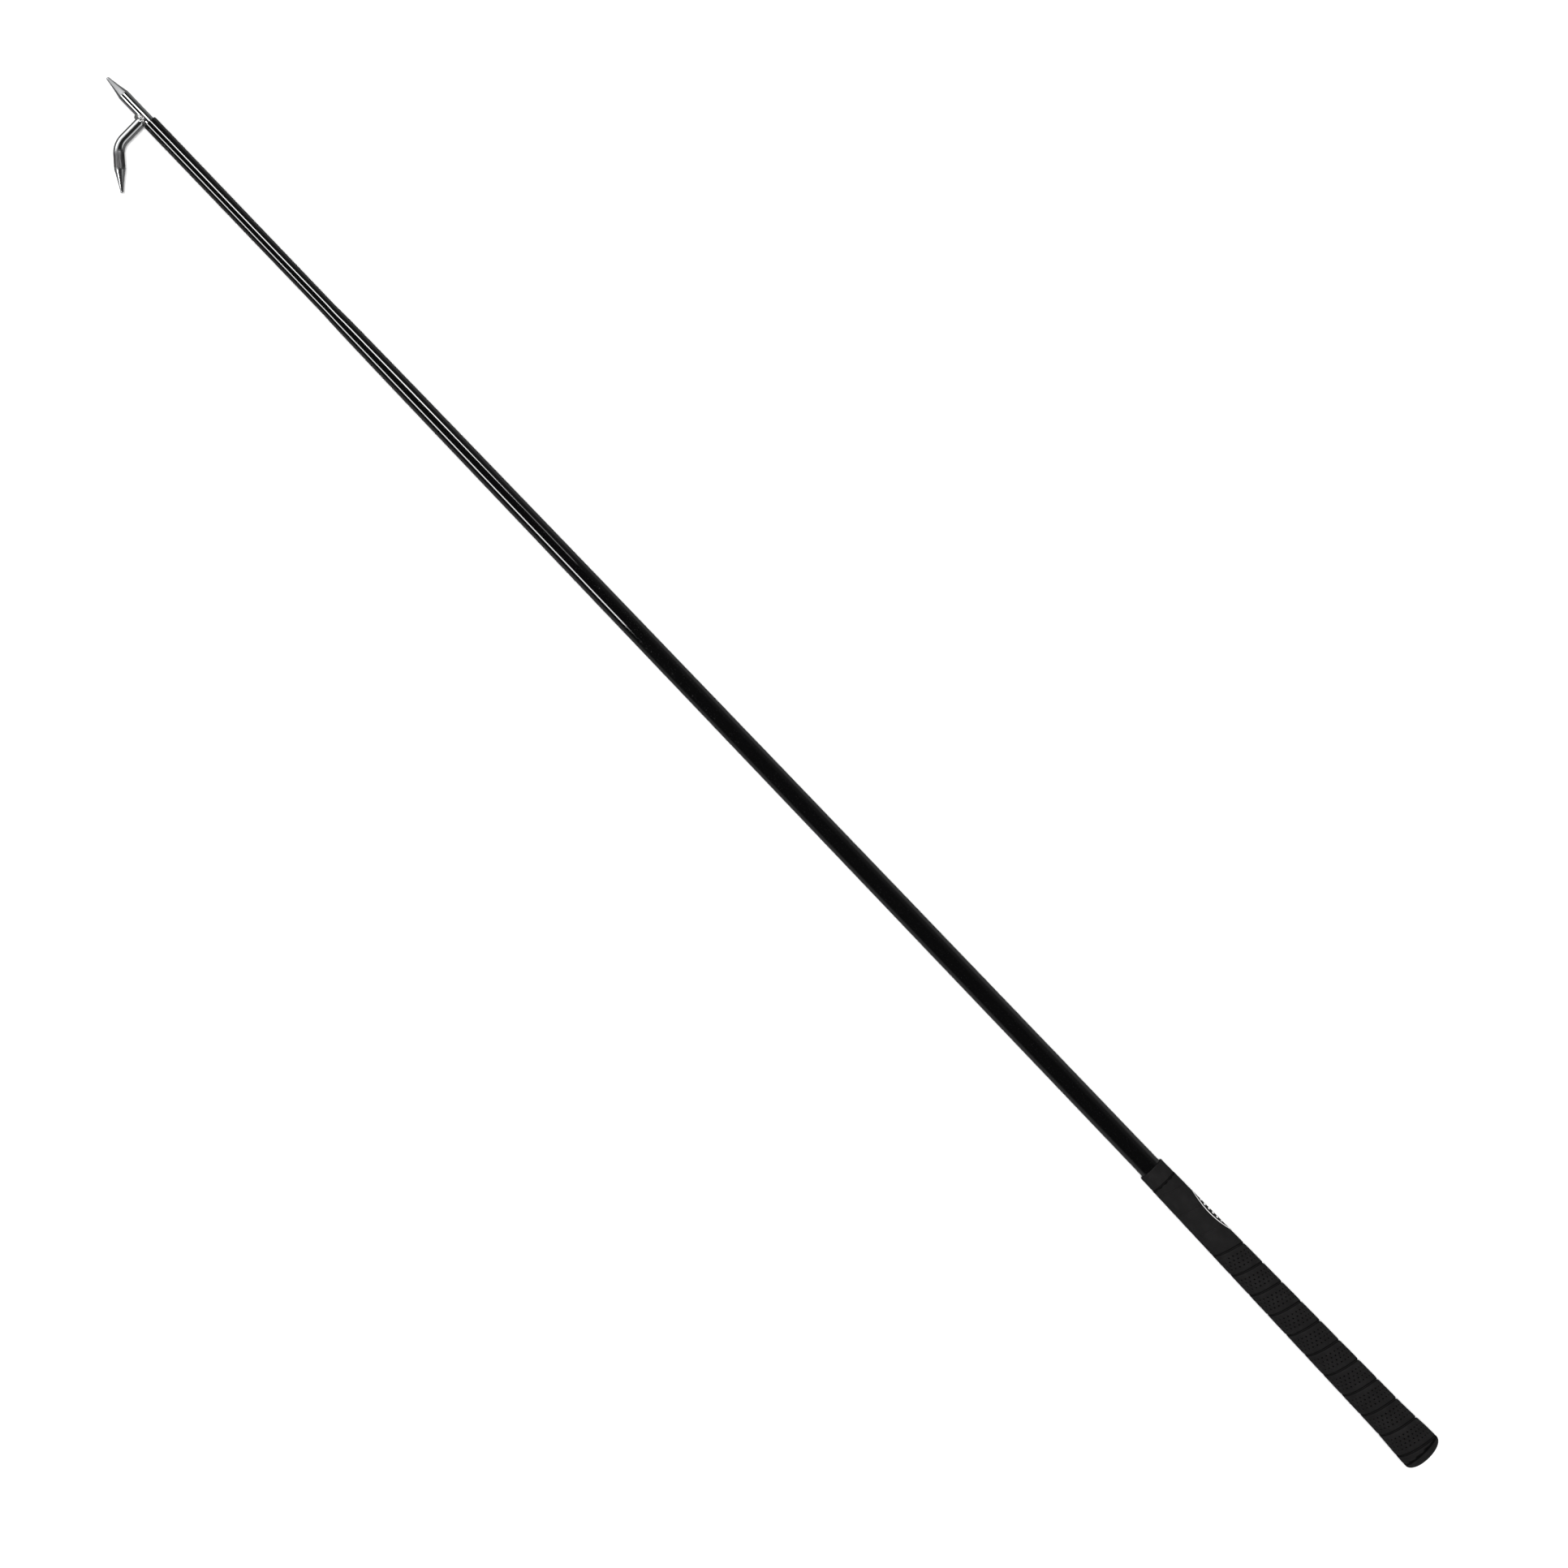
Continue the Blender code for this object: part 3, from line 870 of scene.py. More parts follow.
@dataclass
class Head:
    """The spike, the hook welded to it, and the adhesive around the spike's tang."""

    rod_radius: float = 0.00357
    blunt_radius: float = 0.00104
    point_length: float = 0.0152
    point_hollow: float = 1.25
    flank_steps: int = 16
    shoulder_station: float = 1.1766
    tang_radius: float = 0.0031
    tang_length: float = 0.060
    tang_edge: float = 0.00015
    hook_station: float = 1.1839
    lean: float = math.radians(1.9)
    rise_length: float = 0.0189
    bend_radius: float = 0.0127
    bend_angle: float = math.radians(47.6)
    arm_length: float = 0.0252
    arm_curl: float = math.radians(2.8)
    rise_steps: int = 4
    bend_steps: int = 24
    arm_steps: int = 8
    cutter_length: float = 0.03
    scuff_end: float = 0.0003
    scuff_fade: tuple[float, float] = (0.004, -0.001)
    bead_radius: float = 0.00118
    bead_swell: float = 0.00064
    bead_saddle: float = 0.9
    bead_lumps: float = 0.00012
    bead_lump_count: int = 7
    bead_ripples: float = 0.00005
    bead_ripple_count: int = 23
    bead_lean: float = 0.3
    bead_nudge: float = 0.01
    bead_grain_scale: float = 1400.0
    bead_grain_depth: float = 0.00004
    bead_steps: int = 168
    bead_segments: int = 32
    stride: float = 0.004
    segments: int = 64
    steel: Finish = BrightSteel("bright_plated_steel", (0.80, 0.81, 0.82), 0.03, 1.0)
    weld: Finish = WeldSteel("plated_weld_metal", (0.80, 0.80, 0.80), 0.16, 1.0)
    epoxy: Finish = CuredEpoxy("cured_amber_epoxy", (0.55, 0.40, 0.18), 0.28)

    @property
    def foot(self) -> Vector:
        """Where the hook's centreline meets the spike's axis."""
        return Vector((self.hook_station, 0.0, 0.0))

    def point_radius(self, distance: float) -> float:
        """Radius of a ground point: a rounded end, then a slightly hollow cone.

        Args:
            distance: how far from the point's end.

        Returns:
            The radius.
        """
        if distance < self.blunt_radius:
            return math.sqrt(max(self.blunt_radius**2 - (self.blunt_radius - distance) ** 2, 0.0))
        share = min((distance - self.blunt_radius) / (self.point_length - self.blunt_radius), 1.0)
        return self.blunt_radius + (self.rod_radius - self.blunt_radius) * share**self.point_hollow

    def point_distances(self) -> list[float]:
        """Places along a ground point at which its outline is given.

        Returns:
            Distances from the point's end.
        """
        angles = [math.radians(angle) for angle in range(10, 80, 10)]
        round_end = [self.blunt_radius * (1.0 - math.cos(angle)) for angle in angles]
        flank = self.point_length - self.blunt_radius
        steps = range(self.flank_steps + 1)
        return round_end + [self.blunt_radius + flank * step / self.flank_steps for step in steps]

    def spike(self) -> bpy.types.Object:
        """Turn the spike: ground point, rod, and the tang that goes into the tube.

        Returns:
            The spike.
        """
        outline = [(OVERALL_LENGTH, 0.0)]
        for distance in self.point_distances():
            outline.append((OVERALL_LENGTH - distance, self.point_radius(distance)))
        tang_end = self.shoulder_station - self.tang_length
        outline += [
            (self.shoulder_station, self.rod_radius),
            (self.shoulder_station, self.tang_radius),
            (tang_end + self.tang_edge, self.tang_radius),
            (tang_end, self.tang_radius - self.tang_edge),
            (tang_end, 0.0),
        ]
        work = Workpiece()
        work.turn_on_lathe(work.supported(outline, self.stride), self.segments, closed=False)
        work.store(ALONG, lambda spot: OVERALL_LENGTH - spot.x)
        work.store(SCUFFED, lambda spot: 0.0)
        return install(work.finish("spike_rod", self.steel), "spike_pin", Slot.BRIGHT_STEEL)

    def hook_walk(self) -> list[tuple[Vector, float, float, float]]:
        """Walk the hook's centreline from the spike's axis to its point.

        Returns:
            Place, heading, radius and distance from the point's end at each step.
        """
        stretches = [
            (self.rise_length, 0.0, self.rise_steps),
            (self.bend_radius * self.bend_angle, self.bend_angle, self.bend_steps),
            (self.arm_length - self.point_length, self.arm_curl / 2, self.arm_steps),
        ]
        angle = math.pi / 2 + self.lean
        here = self.foot
        left = sum(length for length, _, _ in stretches) + self.point_length
        walk = [(here.copy(), angle, self.rod_radius, left)]
        for length, turn, steps in stretches:
            for _ in range(steps):
                angle += turn / steps / 2
                here = here + self.heading(angle) * (length / steps)
                angle += turn / steps / 2
                left -= length / steps
                walk.append((here.copy(), angle, self.rod_radius, left))
        start, start_angle = here.copy(), angle
        for distance in [*reversed(self.point_distances()[:-1]), 0.0]:
            walked = self.point_length - distance
            bend = start_angle + self.arm_curl / 2 * walked / self.point_length
            place = start + self.heading((start_angle + bend) / 2) * walked
            walk.append((place, bend, self.point_radius(distance), distance))
        return walk

    @staticmethod
    def heading(angle: float) -> Vector:
        """Unit vector in the XY plane at an angle from +X."""
        return Vector((math.cos(angle), math.sin(angle), 0.0))

    @staticmethod
    def section_frame(place: Vector, along: Vector, side: Vector, radius: float) -> Matrix:
        """Frame of a round section.

        Args:
            place: its middle.
            along: the way it faces.
            side: a direction that its X axis keeps close to.
            radius: its size.

        Returns:
            The frame.
        """
        forward = along.normalized()
        left = forward.cross(side).normalized()
        right = left.cross(forward)
        turned = Matrix((right, left, forward)).transposed().to_4x4()
        return Matrix.Translation(place) @ turned @ Matrix.Scale(radius, 4)

    def spike_room(self) -> bpy.types.Object:
        """Make a plain rod that stands for the room the spike takes up in the hook's foot.

        Returns:
            The cutter.
        """
        work = Workpiece()
        reach = self.rod_radius + FITTED_GAP
        turned = Vector((1.0, 0.0, 0.0)).to_track_quat("Z", "Y").to_matrix().to_4x4()
        bmesh.ops.create_cone(
            work.bm,
            cap_ends=True,
            segments=self.segments,
            radius1=reach,
            radius2=reach,
            depth=self.cutter_length,
            matrix=Matrix.Translation(self.foot) @ turned,
        )
        return work.finish("spike_room", self.steel)

    def scuff(self, left: float) -> float:
        """How scuffed the hook is: a stretch that starts at its point and fades out up the arm.

        Args:
            left: distance from the point's end.

        Returns:
            A share from 0 to 1.
        """
        fade_from, fade_to = (self.arm_length + place for place in self.scuff_fade)
        start, end = self.point_length - self.scuff_end, self.point_length + self.scuff_end
        return smooth_step(left, fade_from, fade_to) * smooth_step(left, start, end)

    def hook(self) -> bpy.types.Object:
        """Bend the hook, grind its point and shape its foot to the spike.

        Returns:
            The hook.
        """
        walk = self.hook_walk()
        up = Vector((0.0, 0.0, 1.0))
        frames = [
            self.section_frame(place, self.heading(angle), up, radius)
            for place, angle, radius, _ in walk[:-1]
        ]
        work = Workpiece()
        layers = work.bm.verts.layers.float
        for name in (ALONG, SCUFFED):
            layers.new(name)
        sections = work.sweep(frames, self.segments, ring=False)
        along = layers[ALONG]
        scuffed = layers[SCUFFED]
        for section, (_, _, _, left) in zip(sections, walk):
            for vert in section:
                vert[along] = left
                vert[scuffed] = self.scuff(left)
        last = work.bm.verts.new(walk[-1][0])
        work.draw_to_point([*sections[-1], last], walk[-1][0])
        work.close_ring(sections[0])
        work.merge()
        piece = work.finish("hook_rod", self.steel)
        cut_with(piece, self.spike_room())
        return install(piece, "hook", Slot.BRIGHT_STEEL)

    def bead_spot(self, turn: float) -> Vector:
        """A place in the corner between hook and spike, at an angle around the hook."""
        saddle = math.sqrt(1.0 - (self.bead_saddle * math.sin(turn)) ** 2)
        return self.foot + self.rod_radius * Vector((math.cos(turn), saddle, math.sin(turn)))

    def weld_bead(self) -> bpy.types.Object:
        """Lay the bead round the hook's foot: a saddle-shaped ring with lumps and ripples.

        Returns:
            The bead.
        """
        frames = []
        for step in range(self.bead_steps):
            turn = 2.0 * math.pi * step / self.bead_steps
            along = self.bead_spot(turn + self.bead_nudge) - self.bead_spot(turn - self.bead_nudge)
            outward = Vector((math.cos(turn), self.bead_lean, math.sin(turn)))
            size = self.bead_radius + self.bead_swell * math.cos(turn)
            size += self.bead_lumps * math.sin(self.bead_lump_count * turn)
            size += self.bead_ripples * abs(math.sin(self.bead_ripple_count * turn / 2.0))
            frames.append(self.section_frame(self.bead_spot(turn), along, outward, size))
        work = Workpiece()
        work.sweep(frames, self.bead_segments, ring=True)
        work.bm.normal_update()
        for vert in work.bm.verts:
            vert.co += vert.normal * solid_noise(vert.co * self.bead_grain_scale) * self.bead_grain_depth
        work.merge()
        return install(work.finish("weld_metal", self.weld), "hook_weld", Slot.WELD_STEEL)

    def build(self) -> list[bpy.types.Object]:
        """Make all the pieces of the head."""
        redress("tang_bond", self.epoxy)
        return [self.spike(), self.hook(), self.weld_bead()]


# Direction of the hook's arm, for streaks that run along it
SCUFF_TURN = -(math.pi / 2 + Head.lean + Head.bend_angle + Head.arm_curl / 4)


@dataclass
class Grip:
    """The wrapped grip: collar, wound strip, flared end cap, and what lies under them."""

    shaft: Shaft
    mouth: float = 0.2552
    collar_length: float = 0.0114
    collar_mouth_radius: float = 0.00896
    collar_seam_radius: float = 0.00907
    collar_edge: float = 0.0003
    lip_length: float = 0.0015
    cap_length: float = 0.0065
    wrap_radius_at_mouth: float = 0.0092
    wrap_slope: float = 0.01453
    flare_length: float = 0.031
    flare_height: float = 0.00105
    strip_thickness: float = 0.0007
    strip_pitch: float = 0.01736
    strip_gap: float = 0.0005
    seam_station: float = 0.1669
    lip_rows: tuple[float, ...] = (0.0, 0.0002, 0.0005, 0.0009, 0.0015)
    middle_steps: int = 10
    lip_width: float = 0.0013
    lip_drop: float = 0.00042
    # share of painted shade on the rolled lips, at the seam
    lip_shade: float = 0.8
    plain_from: float = 0.181
    plain_depth: float = 0.15
    plain_fade: tuple[float, float] = (0.004, 0.011)
    column: float = 0.00075
    hole_radius: float = 0.00070
    hole_depth: float = 0.00062
    hole_columns: int = 4
    hole_rows: int = 4
    first_hole_row: int = 6
    pit_steps: tuple[tuple[float, float], ...] = ((0.35, 0.00012), (0.65, 0.00007))
    bare_end: float = 0.0025
    front_overrun: float = 0.0013
    back_overrun: float = 0.0010
    shade_from: float = 0.0001
    collar_shade: float = 0.0006
    cap_shade: float = 0.0005
    wrap_shade: float = 0.0007
    wrap_crease: float = math.radians(40.0)
    cap_radius: float = 0.0137
    land_radius: float = 0.0030
    dome_height: float = 0.0056
    dome_steps: int = 24
    cap_edge: float = 0.0002
    vent_radius: float = 0.0012
    spigot_radius: float = 0.0062
    spigot_length: float = 0.008
    stride: float = 0.003
    segments: int = 128
    wrap: Finish = PrintedWrap(
        "perforated_wrap", (0.0060, 0.0057, 0.0058), 0.62, ior=1.38, grain_depth=0.00002
    )
    rubber: Finish = BlackRubber("moulded_black_rubber", (0.0060, 0.0057, 0.0058), 0.60, ior=1.38)
    tape: Finish = CrepeTape("creped_tape", (0.78, 0.74, 0.62), 0.80)

    @property
    def band_end(self) -> float:
        """Where the collar ends and the wrap begins."""
        return self.mouth - self.collar_length

    @property
    def strip_width(self) -> float:
        """Width of the strip, measured along the stick."""
        return self.strip_pitch - self.strip_gap

    @property
    def climb(self) -> float:
        """How far the seam moves along the stick per radian."""
        return self.strip_pitch / (2.0 * math.pi)

    def wrap_radius(self, station: float) -> float:
        """Outer radius of the wrap: a cone that flares into the cap.

        Args:
            station: where along the stick.

        Returns:
            The radius.
        """
        cone = self.wrap_radius_at_mouth + self.wrap_slope * (self.band_end - station)
        flare = smooth_step(self.cap_length + self.flare_length - station, 0.0, self.flare_length)
        return cone + self.flare_height * flare

    def seam_depth(self, station: float) -> float:
        """How deep the seam lies: full under the hand, faint on the plain stretch near the mouth."""
        fade_from, fade_to = (self.plain_from + place for place in self.plain_fade)
        return 1.0 - (1.0 - self.plain_depth) * smooth_step(station, fade_from, fade_to)

    def collar(self) -> bpy.types.Object:
        """Turn the plain band, with a lip that closes down on the tube.

        Returns:
            The collar.
        """
        seam = self.band_end
        lip = self.mouth - self.lip_length
        lip_bore = self.shaft.radius(lip) + 2.0 * SLIDING_GAP
        bore = self.wrap_radius(seam) - self.strip_thickness
        outline = [
            (self.mouth, self.collar_mouth_radius),
            (seam, self.collar_seam_radius),
            (seam, bore),
            (lip, bore),
            (lip, lip_bore),
            (self.mouth, lip_bore),
        ]
        work = Workpiece()
        work.turn_on_lathe(work.supported(outline, self.stride), self.segments, closed=True)
        work.round_edges(self.collar_edge)
        shade_from, shade_to = seam + self.shade_from, seam + self.collar_shade
        work.store(SUNK, lambda point: 1.0 - smooth_step(point.x, shade_from, shade_to))
        return install(work.finish("collar_band", self.rubber), "grip_collar", Slot.RUBBER_BLACK)

    def end_cap(self) -> bpy.types.Object:
        """Turn the domed cap, with its vent hole and the spigot inside the tube.

        Returns:
            The cap.
        """
        inner_end = self.cap_length + self.spigot_length
        outline = [
            (inner_end, self.spigot_radius),
            (self.cap_length, self.spigot_radius),
            (self.cap_length, self.cap_radius - self.cap_edge),
            (self.cap_length - self.cap_edge, self.cap_radius),
        ]
        for step in range(self.dome_steps + 1):
            turn = math.pi / 2 * (1.0 - step / self.dome_steps)
            radius = self.land_radius + (self.cap_radius - self.land_radius) * math.sin(turn)
            outline.append((self.dome_height * (1.0 - math.cos(turn)), radius))
        outline += [(0.0, self.vent_radius), (inner_end, self.vent_radius)]
        work = Workpiece()
        work.turn_on_lathe(outline, self.segments, closed=True)
        work.round_edges(self.cap_edge, segments=2)
        shade_from, shade_to = self.cap_length - self.cap_shade, self.cap_length - self.shade_from
        work.store(SUNK, lambda point: smooth_step(point.x, shade_from, shade_to))
        return install(work.finish("cap_dome", self.rubber), "grip_end_cap", Slot.RUBBER_BLACK)

    def rows(self) -> list[float]:
        """Rows of points across the strip, closer together at both edges.

        Returns:
            Distances from the strip's first edge.
        """
        width = self.strip_width
        lip = self.lip_rows
        steps = range(1, self.middle_steps)
        middle = [lip[-1] + (width - 2.0 * lip[-1]) * step / self.middle_steps for step in steps]
        return [*lip, *middle, *(width - place for place in reversed(lip))]

    def winding(self) -> tuple[list[float], float]:
        """Turns of the strip at equal steps of length.

        Returns:
            The angle about X at each column, and the station of the seam at angle 0.
        """
        climb = self.climb
        seam_at_zero = self.seam_station + climb * math.pi / 2
        turn = (seam_at_zero - (self.band_end + self.front_overrun)) / climb
        end = (seam_at_zero - (self.cap_length - self.back_overrun) + self.strip_pitch) / climb
        turns = [turn]
        while turn < end:
            middle = seam_at_zero - climb * turn + self.strip_pitch / 2
            turn += self.column / self.wrap_radius(middle)
            turns.append(turn)
        return turns, seam_at_zero

    def hole_spots(
        self, work: Workpiece, rows: Sequence[float], turns: Sequence[float], seam_at_zero: float
    ) -> list[bmesh.types.BMVert]:
        """Choose the places of the perforations, in staggered rows down the strip's middle.

        Args:
            work: the strip, still a grid of numbered rows and columns.
            rows: places of the rows across the strip.
            turns: angle of each column.
            seam_at_zero: station of the seam at angle 0.

        Returns:
            The grid's points where a perforation goes.
        """
        firsts = {
            self.first_hole_row + 2 * index: index % 2 * self.hole_columns // 2
            for index in range(self.hole_rows)
        }
        spots = []
        for vert in work.bm.verts:
            row = round(vert.co.y)
            column = round(vert.co.x)
            if row not in firsts or (column - firsts[row]) % self.hole_columns:
                continue
            if not 0 < column < len(turns) - 1:
                continue
            station = seam_at_zero - self.climb * turns[column] + self.strip_gap / 2 + rows[row]
            if self.cap_length + self.bare_end < station < self.plain_from:
                spots.append(vert)
        return spots

    def pierce(self, work: Workpiece, spots: Sequence[bmesh.types.BMVert]) -> None:
        """Press the perforations into the flat strip, and paint shade in them.

        Args:
            work: the strip, laid out flat.
            spots: the points where a perforation goes.
        """
        made = bmesh.ops.bevel(
            work.bm,
            geom=list(spots),
            offset=self.hole_radius,
            offset_type="OFFSET",
            affect="VERTICES",
            segments=2,
            profile=0.5,
            material=-1,
        )
        sunk = work.bm.verts.layers.float[SUNK]
        discs = set(made["faces"])
        middles = [vert for vert in made["verts"] if all(face in discs for face in vert.link_faces)]
        for middle in middles:
            for vert in {vert for face in middle.link_faces for vert in face.verts} - {middle}:
                vert.co = middle.co + (vert.co - middle.co).normalized() * self.hole_radius
        LOG.info("wrap has %d perforations", len(middles))
        for share, inward in self.pit_steps:
            bmesh.ops.inset_region(
                work.bm,
                faces=list(discs),
                thickness=inward,
                depth=-self.hole_depth * share,
                use_boundary=True,
                use_even_offset=True,
            )
        # painted shade in the perforations
        for face in discs:
            for vert in face.verts:
                vert[sunk] = 1.0

    def lay_out(self, work: Workpiece, rows: Sequence[float]) -> None:
        """Give the numbered grid its real lengths, roll its edges down, and paint shade on the rolled lips.

        Args:
            work: the strip, still a grid of numbered rows and columns.
            rows: places of the rows across the strip.
        """
        width = rows[-1]
        sunk = work.bm.verts.layers.float[SUNK]
        for vert in work.bm.verts:
            row = round(vert.co.y)
            edge = min(rows[row], width - rows[row])
            drop = self.lip_drop * (1.0 - min(edge / self.lip_width, 1.0)) ** 2
            # painted shade on the rolled lips, deepest at the strip's edge
            vert[sunk] = self.lip_shade * drop / self.lip_drop
            vert.co = Vector((round(vert.co.x) * self.column, rows[row], -drop))

    def roll_up(self, work: Workpiece, turns: Sequence[float], seam_at_zero: float) -> None:
        """Wind the flat strip onto the grip.

        Args:
            work: the flat strip.
            turns: angle of each column.
            seam_at_zero: station of the seam at angle 0.
        """
        under = -self.strip_thickness + 0.00001
        front = self.band_end - SEAM_GAP
        back = self.cap_length + SEAM_GAP
        sunk = work.bm.verts.layers.float[SUNK]
        for vert in work.bm.verts:
            place = min(max(vert.co.x / self.column, 0.0), len(turns) - 1.001)
            before = int(place)
            turn = turns[before] + (turns[before + 1] - turns[before]) * (place - before)
            seam = seam_at_zero - self.climb * turn
            depth = self.seam_depth(seam + vert.co.y)
            gap = self.strip_gap * depth
            station = seam + gap / 2 + vert.co.y / self.strip_width * (self.strip_pitch - gap)
            outer = vert.co.z >= under
            height = vert.co.z * depth if outer else vert.co.z
            from_end = min(front - station, station - back)
            end_shade = 1.0 - smooth_step(from_end, self.shade_from, self.wrap_shade)
            vert[sunk] = max(vert[sunk] * depth * depth, end_shade)
            radius = self.wrap_radius(station) + height
            vert.co = Vector((station, radius * math.cos(turn), radius * math.sin(turn)))

    def wound_strip(self) -> bpy.types.Object:
        """Make the perforated strip flat, then wind it on and trim it square at both ends.

        Returns:
            The strip.
        """
        rows = self.rows()
        turns, seam_at_zero = self.winding()
        columns = len(turns) - 1
        work = Workpiece()
        bm = work.bm
        sunk = bm.verts.layers.float.new(SUNK)
        bmesh.ops.create_grid(bm, x_segments=columns, y_segments=len(rows) - 1, size=0.5)
        bmesh.ops.translate(bm, verts=bm.verts, vec=(0.5, 0.5, 0.0))
        bmesh.ops.scale(bm, verts=bm.verts, vec=(columns, len(rows) - 1, 1.0))
        spots = self.hole_spots(work, rows, turns, seam_at_zero)
        self.lay_out(work, rows)
        self.pierce(work, spots)
        rim = [edge for edge in bm.edges if edge.is_boundary]
        made = bmesh.ops.extrude_edge_only(bm, edges=rim)["geom"]
        # the new points form the strip's sides and underside, which get painted shade where the seams show
        # them
        for vert in points_of(made):
            vert.co.z = -self.strip_thickness
            vert[sunk] = 1.0
        under = [edge for edge in bm.edges if edge.is_boundary]
        sides = [edge for edge in under if abs(edge.verts[0].co.x - edge.verts[1].co.x) > self.column / 2]
        bmesh.ops.bridge_loops(bm, edges=sides)
        self.roll_up(work, turns, seam_at_zero)
        work.trim(self.band_end - SEAM_GAP, Side.TIP)
        work.trim(self.cap_length + SEAM_GAP, Side.BUTT)
        work.merge()
        return install(work.finish("wrap_strip", self.wrap, self.wrap_crease), "grip_wrap", Slot.WRAP_BLACK)

    def build(self) -> list[bpy.types.Object]:
        """Make all the pieces of the grip.

        Returns:
            The pieces.
        """
        redress("grip_tape", self.tape)
        redress("grip_underlisting", self.rubber)
        return [self.collar(), self.wound_strip(), self.end_cap()]


# The studio -------------------------------------------------------------------------------------


@dataclass(frozen=True)
class Softbox:
    """A rectangular light that faces a target, hidden from the camera."""

    name: str
    place: tuple[float, float, float]
    target: tuple[float, float, float]
    length: float
    width: float
    radiance: float
    lights_floor: bool
    roll: float = 0.0

    def build(self) -> bpy.types.Object:
        """Hang the light: it either shows in reflections or lights matt surfaces.

        Returns:
            The light.
        """
        data = bpy.data.lights.new(self.name, "AREA")
        data.shape = "RECTANGLE"
        data.size = self.length
        data.size_y = self.width
        data.energy = self.radiance * math.pi * self.length * self.width
        light = bpy.data.objects.new(self.name, data)
        back = (Vector(self.place) - Vector(self.target)).normalized()
        reference = Vector((0.0, 1.0, 0.0)) if abs(back.x) > 0.7 else Vector((1.0, 0.0, 0.0))
        along = Matrix.Rotation(self.roll, 3, back) @ (reference - back * reference.dot(back)).normalized()
        across = back.cross(along)
        turned = Matrix((along, across, back)).transposed().to_4x4()
        light.matrix_world = Matrix.Translation(Vector(self.place)) @ turned
        light.visible_camera = False
        light.visible_glossy = not self.lights_floor
        light.visible_diffuse = self.lights_floor
        bpy.context.scene.collection.objects.link(light)
        return light


def beside(station: float, tilt: float, distance: float) -> tuple[float, float, float]:
    """A place beside the stick: a tilt from straight up, in degrees towards +Y, and a distance."""
    angle = math.radians(tilt)
    return (station, distance * math.sin(angle), distance * math.cos(angle))


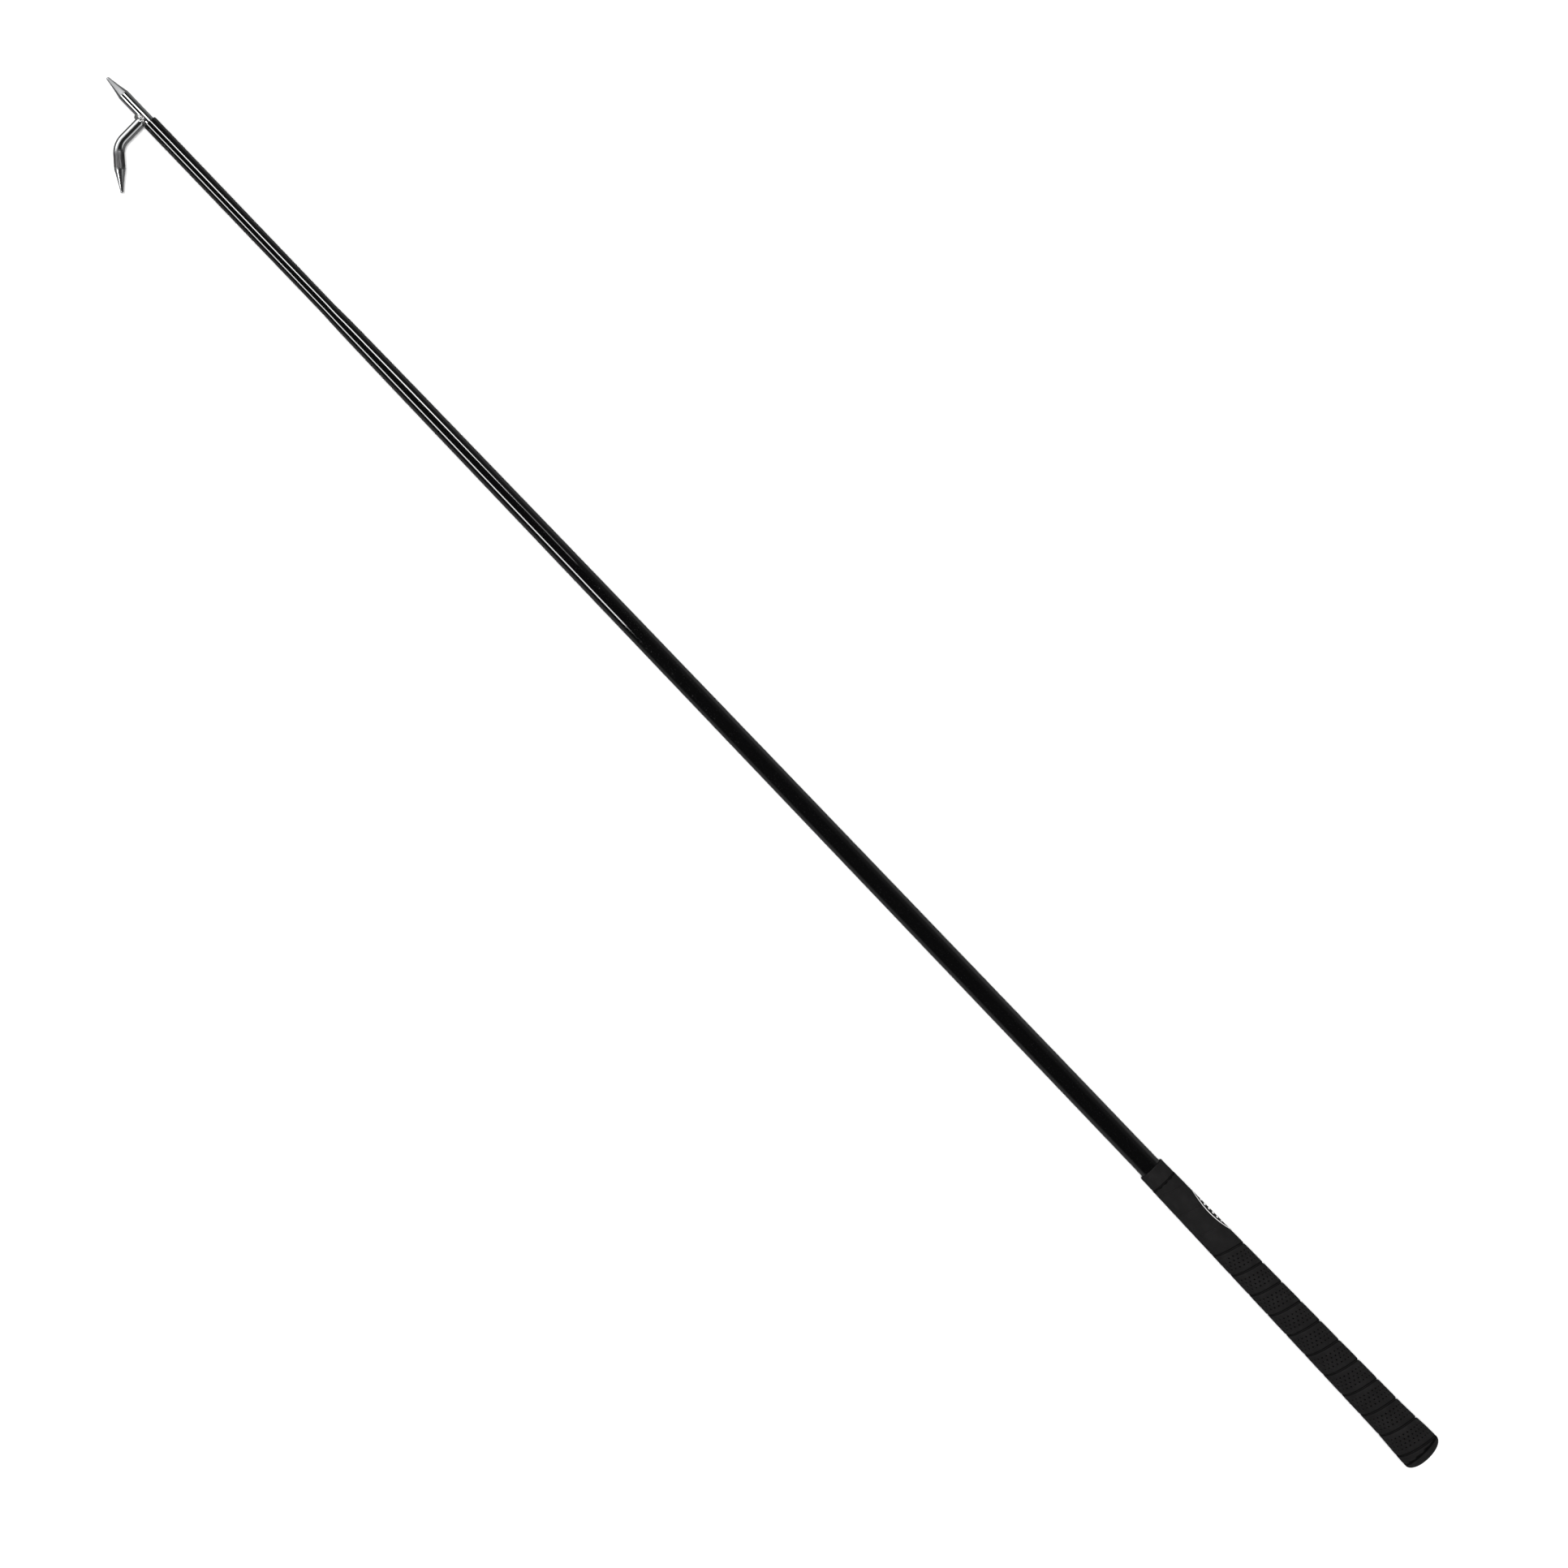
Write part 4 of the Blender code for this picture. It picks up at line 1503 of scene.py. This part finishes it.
@dataclass
class Studio:
    """Pale sweep, soft lights and the camera that looks straight down on the stick."""

    floor_height: float = -0.0137
    floor_radius: float = 6.0
    sweep_radius: float = 3.0
    wall_height: float = 4.0
    floor_segments: int = 96
    curve_steps: int = 12
    middle: Vector = field(default_factory=lambda: Vector((0.5945, -0.0005, 0.0)))
    image_right: Vector = field(default_factory=lambda: Vector((-0.69134, -0.72253, 0.0)))
    image_up: Vector = field(default_factory=lambda: Vector((0.72253, -0.69134, 0.0)))
    field_width: float = 1.001
    lens: float = 100.0
    sensor: float = 36.0
    paper: Finish = PalePaper("pale_paper", (0.93, 0.93, 0.93), 0.9)
    room_glow: float = 0.018
    left_glow: float = 0.03
    floor_glow: float = 0.13
    near_glow: float = 0.55
    far_glow: float = 0.95
    lights: tuple[Softbox, ...] = (
        Softbox(
            "strip_left", beside(1.30, -26.0, 1.2), (1.30, 0.0, 0.0), 0.80, 0.19, 7.4, False,
            roll=math.radians(45.0),
        ),
        Softbox("strip_left_end", beside(1.00, -40.0, 1.2), (1.00, 0.0, 0.0), 0.24, 0.22, 0.95, False),
        Softbox("strip_right", beside(1.24, 49.0, 1.2), (1.24, 0.0, 0.0), 0.87, 0.27, 5.6, False),
        Softbox("overhead_fill", (0.60, 0.0, 4.5), (0.60, 0.0, 0.0), 0.9, 0.9, 98.0, True),
    )

    @staticmethod
    def grow_rim(bm: bmesh.types.BMesh) -> list[bmesh.types.BMVert]:
        """Grow a band of faces from the rim of a mesh, and return its new points, still on the rim."""
        rim = [edge for edge in bm.edges if edge.is_boundary]
        return points_of(bmesh.ops.extrude_edge_only(bm, edges=rim)["geom"])

    def sweep(self) -> bpy.types.Object:
        """Spread the floor, which rises into a round wall far away.

        Returns:
            The sweep.
        """
        bm = bmesh.new()
        circle = {"segments": self.floor_segments, "radius": self.floor_radius}
        bmesh.ops.create_circle(bm, cap_ends=True, **circle)
        bmesh.ops.translate(bm, verts=bm.verts, vec=(self.middle.x, 0.0, self.floor_height))
        stride = self.sweep_radius * math.pi / 2 / self.curve_steps
        for step in range(self.curve_steps):
            turn = (math.pi / 2) * (step + 0.5) / self.curve_steps
            for vert in self.grow_rim(bm):
                out = Vector((vert.co.x - self.middle.x, vert.co.y, 0.0)).normalized()
                vert.co += (out * math.cos(turn) + Vector((0.0, 0.0, math.sin(turn)))) * stride
        bmesh.ops.translate(bm, verts=self.grow_rim(bm), vec=(0.0, 0.0, self.wall_height))
        mesh = bpy.data.meshes.new("pale_sweep")
        bm.to_mesh(mesh)
        bm.free()
        mesh.shade_smooth()
        mesh.materials.append(self.paper.material())
        sweep = bpy.data.objects.new("pale_sweep", mesh)
        bpy.context.scene.collection.objects.link(sweep)
        sweep.visible_glossy = False
        return sweep

    def surroundings(self) -> None:
        """Set what shows in reflections: a dark room, paler below, on the -Y side and past both ends."""
        world = bpy.data.worlds.new("studio_room")
        world.use_nodes = True
        bpy.context.scene.world = world
        net = Network(world.node_tree)
        way = net.node("ShaderNodeTexCoord", output="Generated")
        split = net.node("ShaderNodeSeparateXYZ", inputs={0: way}).socket.node
        forward, across, up = (Value(net, output) for output in split.outputs)
        below = up.rise(0.25, -0.25)
        left = across.rise(-0.55, -0.95)
        ahead = forward.rise(0.28, 0.42) * self.near_glow + forward.rise(0.56, 0.72) * self.far_glow
        behind = forward.rise(-0.62, -0.78) * self.near_glow
        above = up.rise(0.10, 0.34)
        glow = self.room_glow + left * self.left_glow + below * self.floor_glow + (ahead + behind) * above
        background = world.node_tree.nodes["Background"]
        net.feed(background.inputs["Color"], (1.0, 1.0, 1.0, 1.0))
        net.feed(background.inputs["Strength"], glow)

    def camera(self) -> bpy.types.Object:
        """Set the camera above the stick, turned so that the spike is at the upper left.

        Returns:
            The camera.
        """
        data = bpy.data.cameras.new("overhead")
        data.lens = self.lens
        data.sensor_width = self.sensor
        data.clip_end = 100.0
        camera = bpy.data.objects.new("overhead", data)
        height = self.field_width * self.lens / self.sensor
        back = self.image_right.cross(self.image_up)
        turned = Matrix((self.image_right, self.image_up, back)).transposed().to_4x4()
        camera.matrix_world = Matrix.Translation(self.middle + back * height) @ turned
        bpy.context.scene.collection.objects.link(camera)
        bpy.context.scene.camera = camera
        return camera

    def build(self) -> None:
        """Set up everything around the stick."""
        self.camera()
        self.sweep()
        self.surroundings()
        for light in self.lights:
            light.build()
        bpy.context.scene.view_settings.view_transform = "Standard"


def report(pieces: Iterable[bpy.types.Object]) -> None:
    """Report each piece and its length along the stick.

    Args:
        pieces: the pieces of the stick.
    """
    for piece in pieces:
        stations = [vert.co.x for vert in piece.data.vertices]
        LOG.info("%s runs from %.4f to %.4f m", piece.name, min(stations), max(stations))


def main() -> None:
    """Build the studio and the stick."""
    logging.basicConfig(level=logging.INFO, format="%(message)s")
    Studio().build()
    shaft = Shaft()
    pieces = [shaft.build(), *Head().build(), *Grip(shaft).build()]
    report(pieces)


if __name__ == "__main__":
    main()
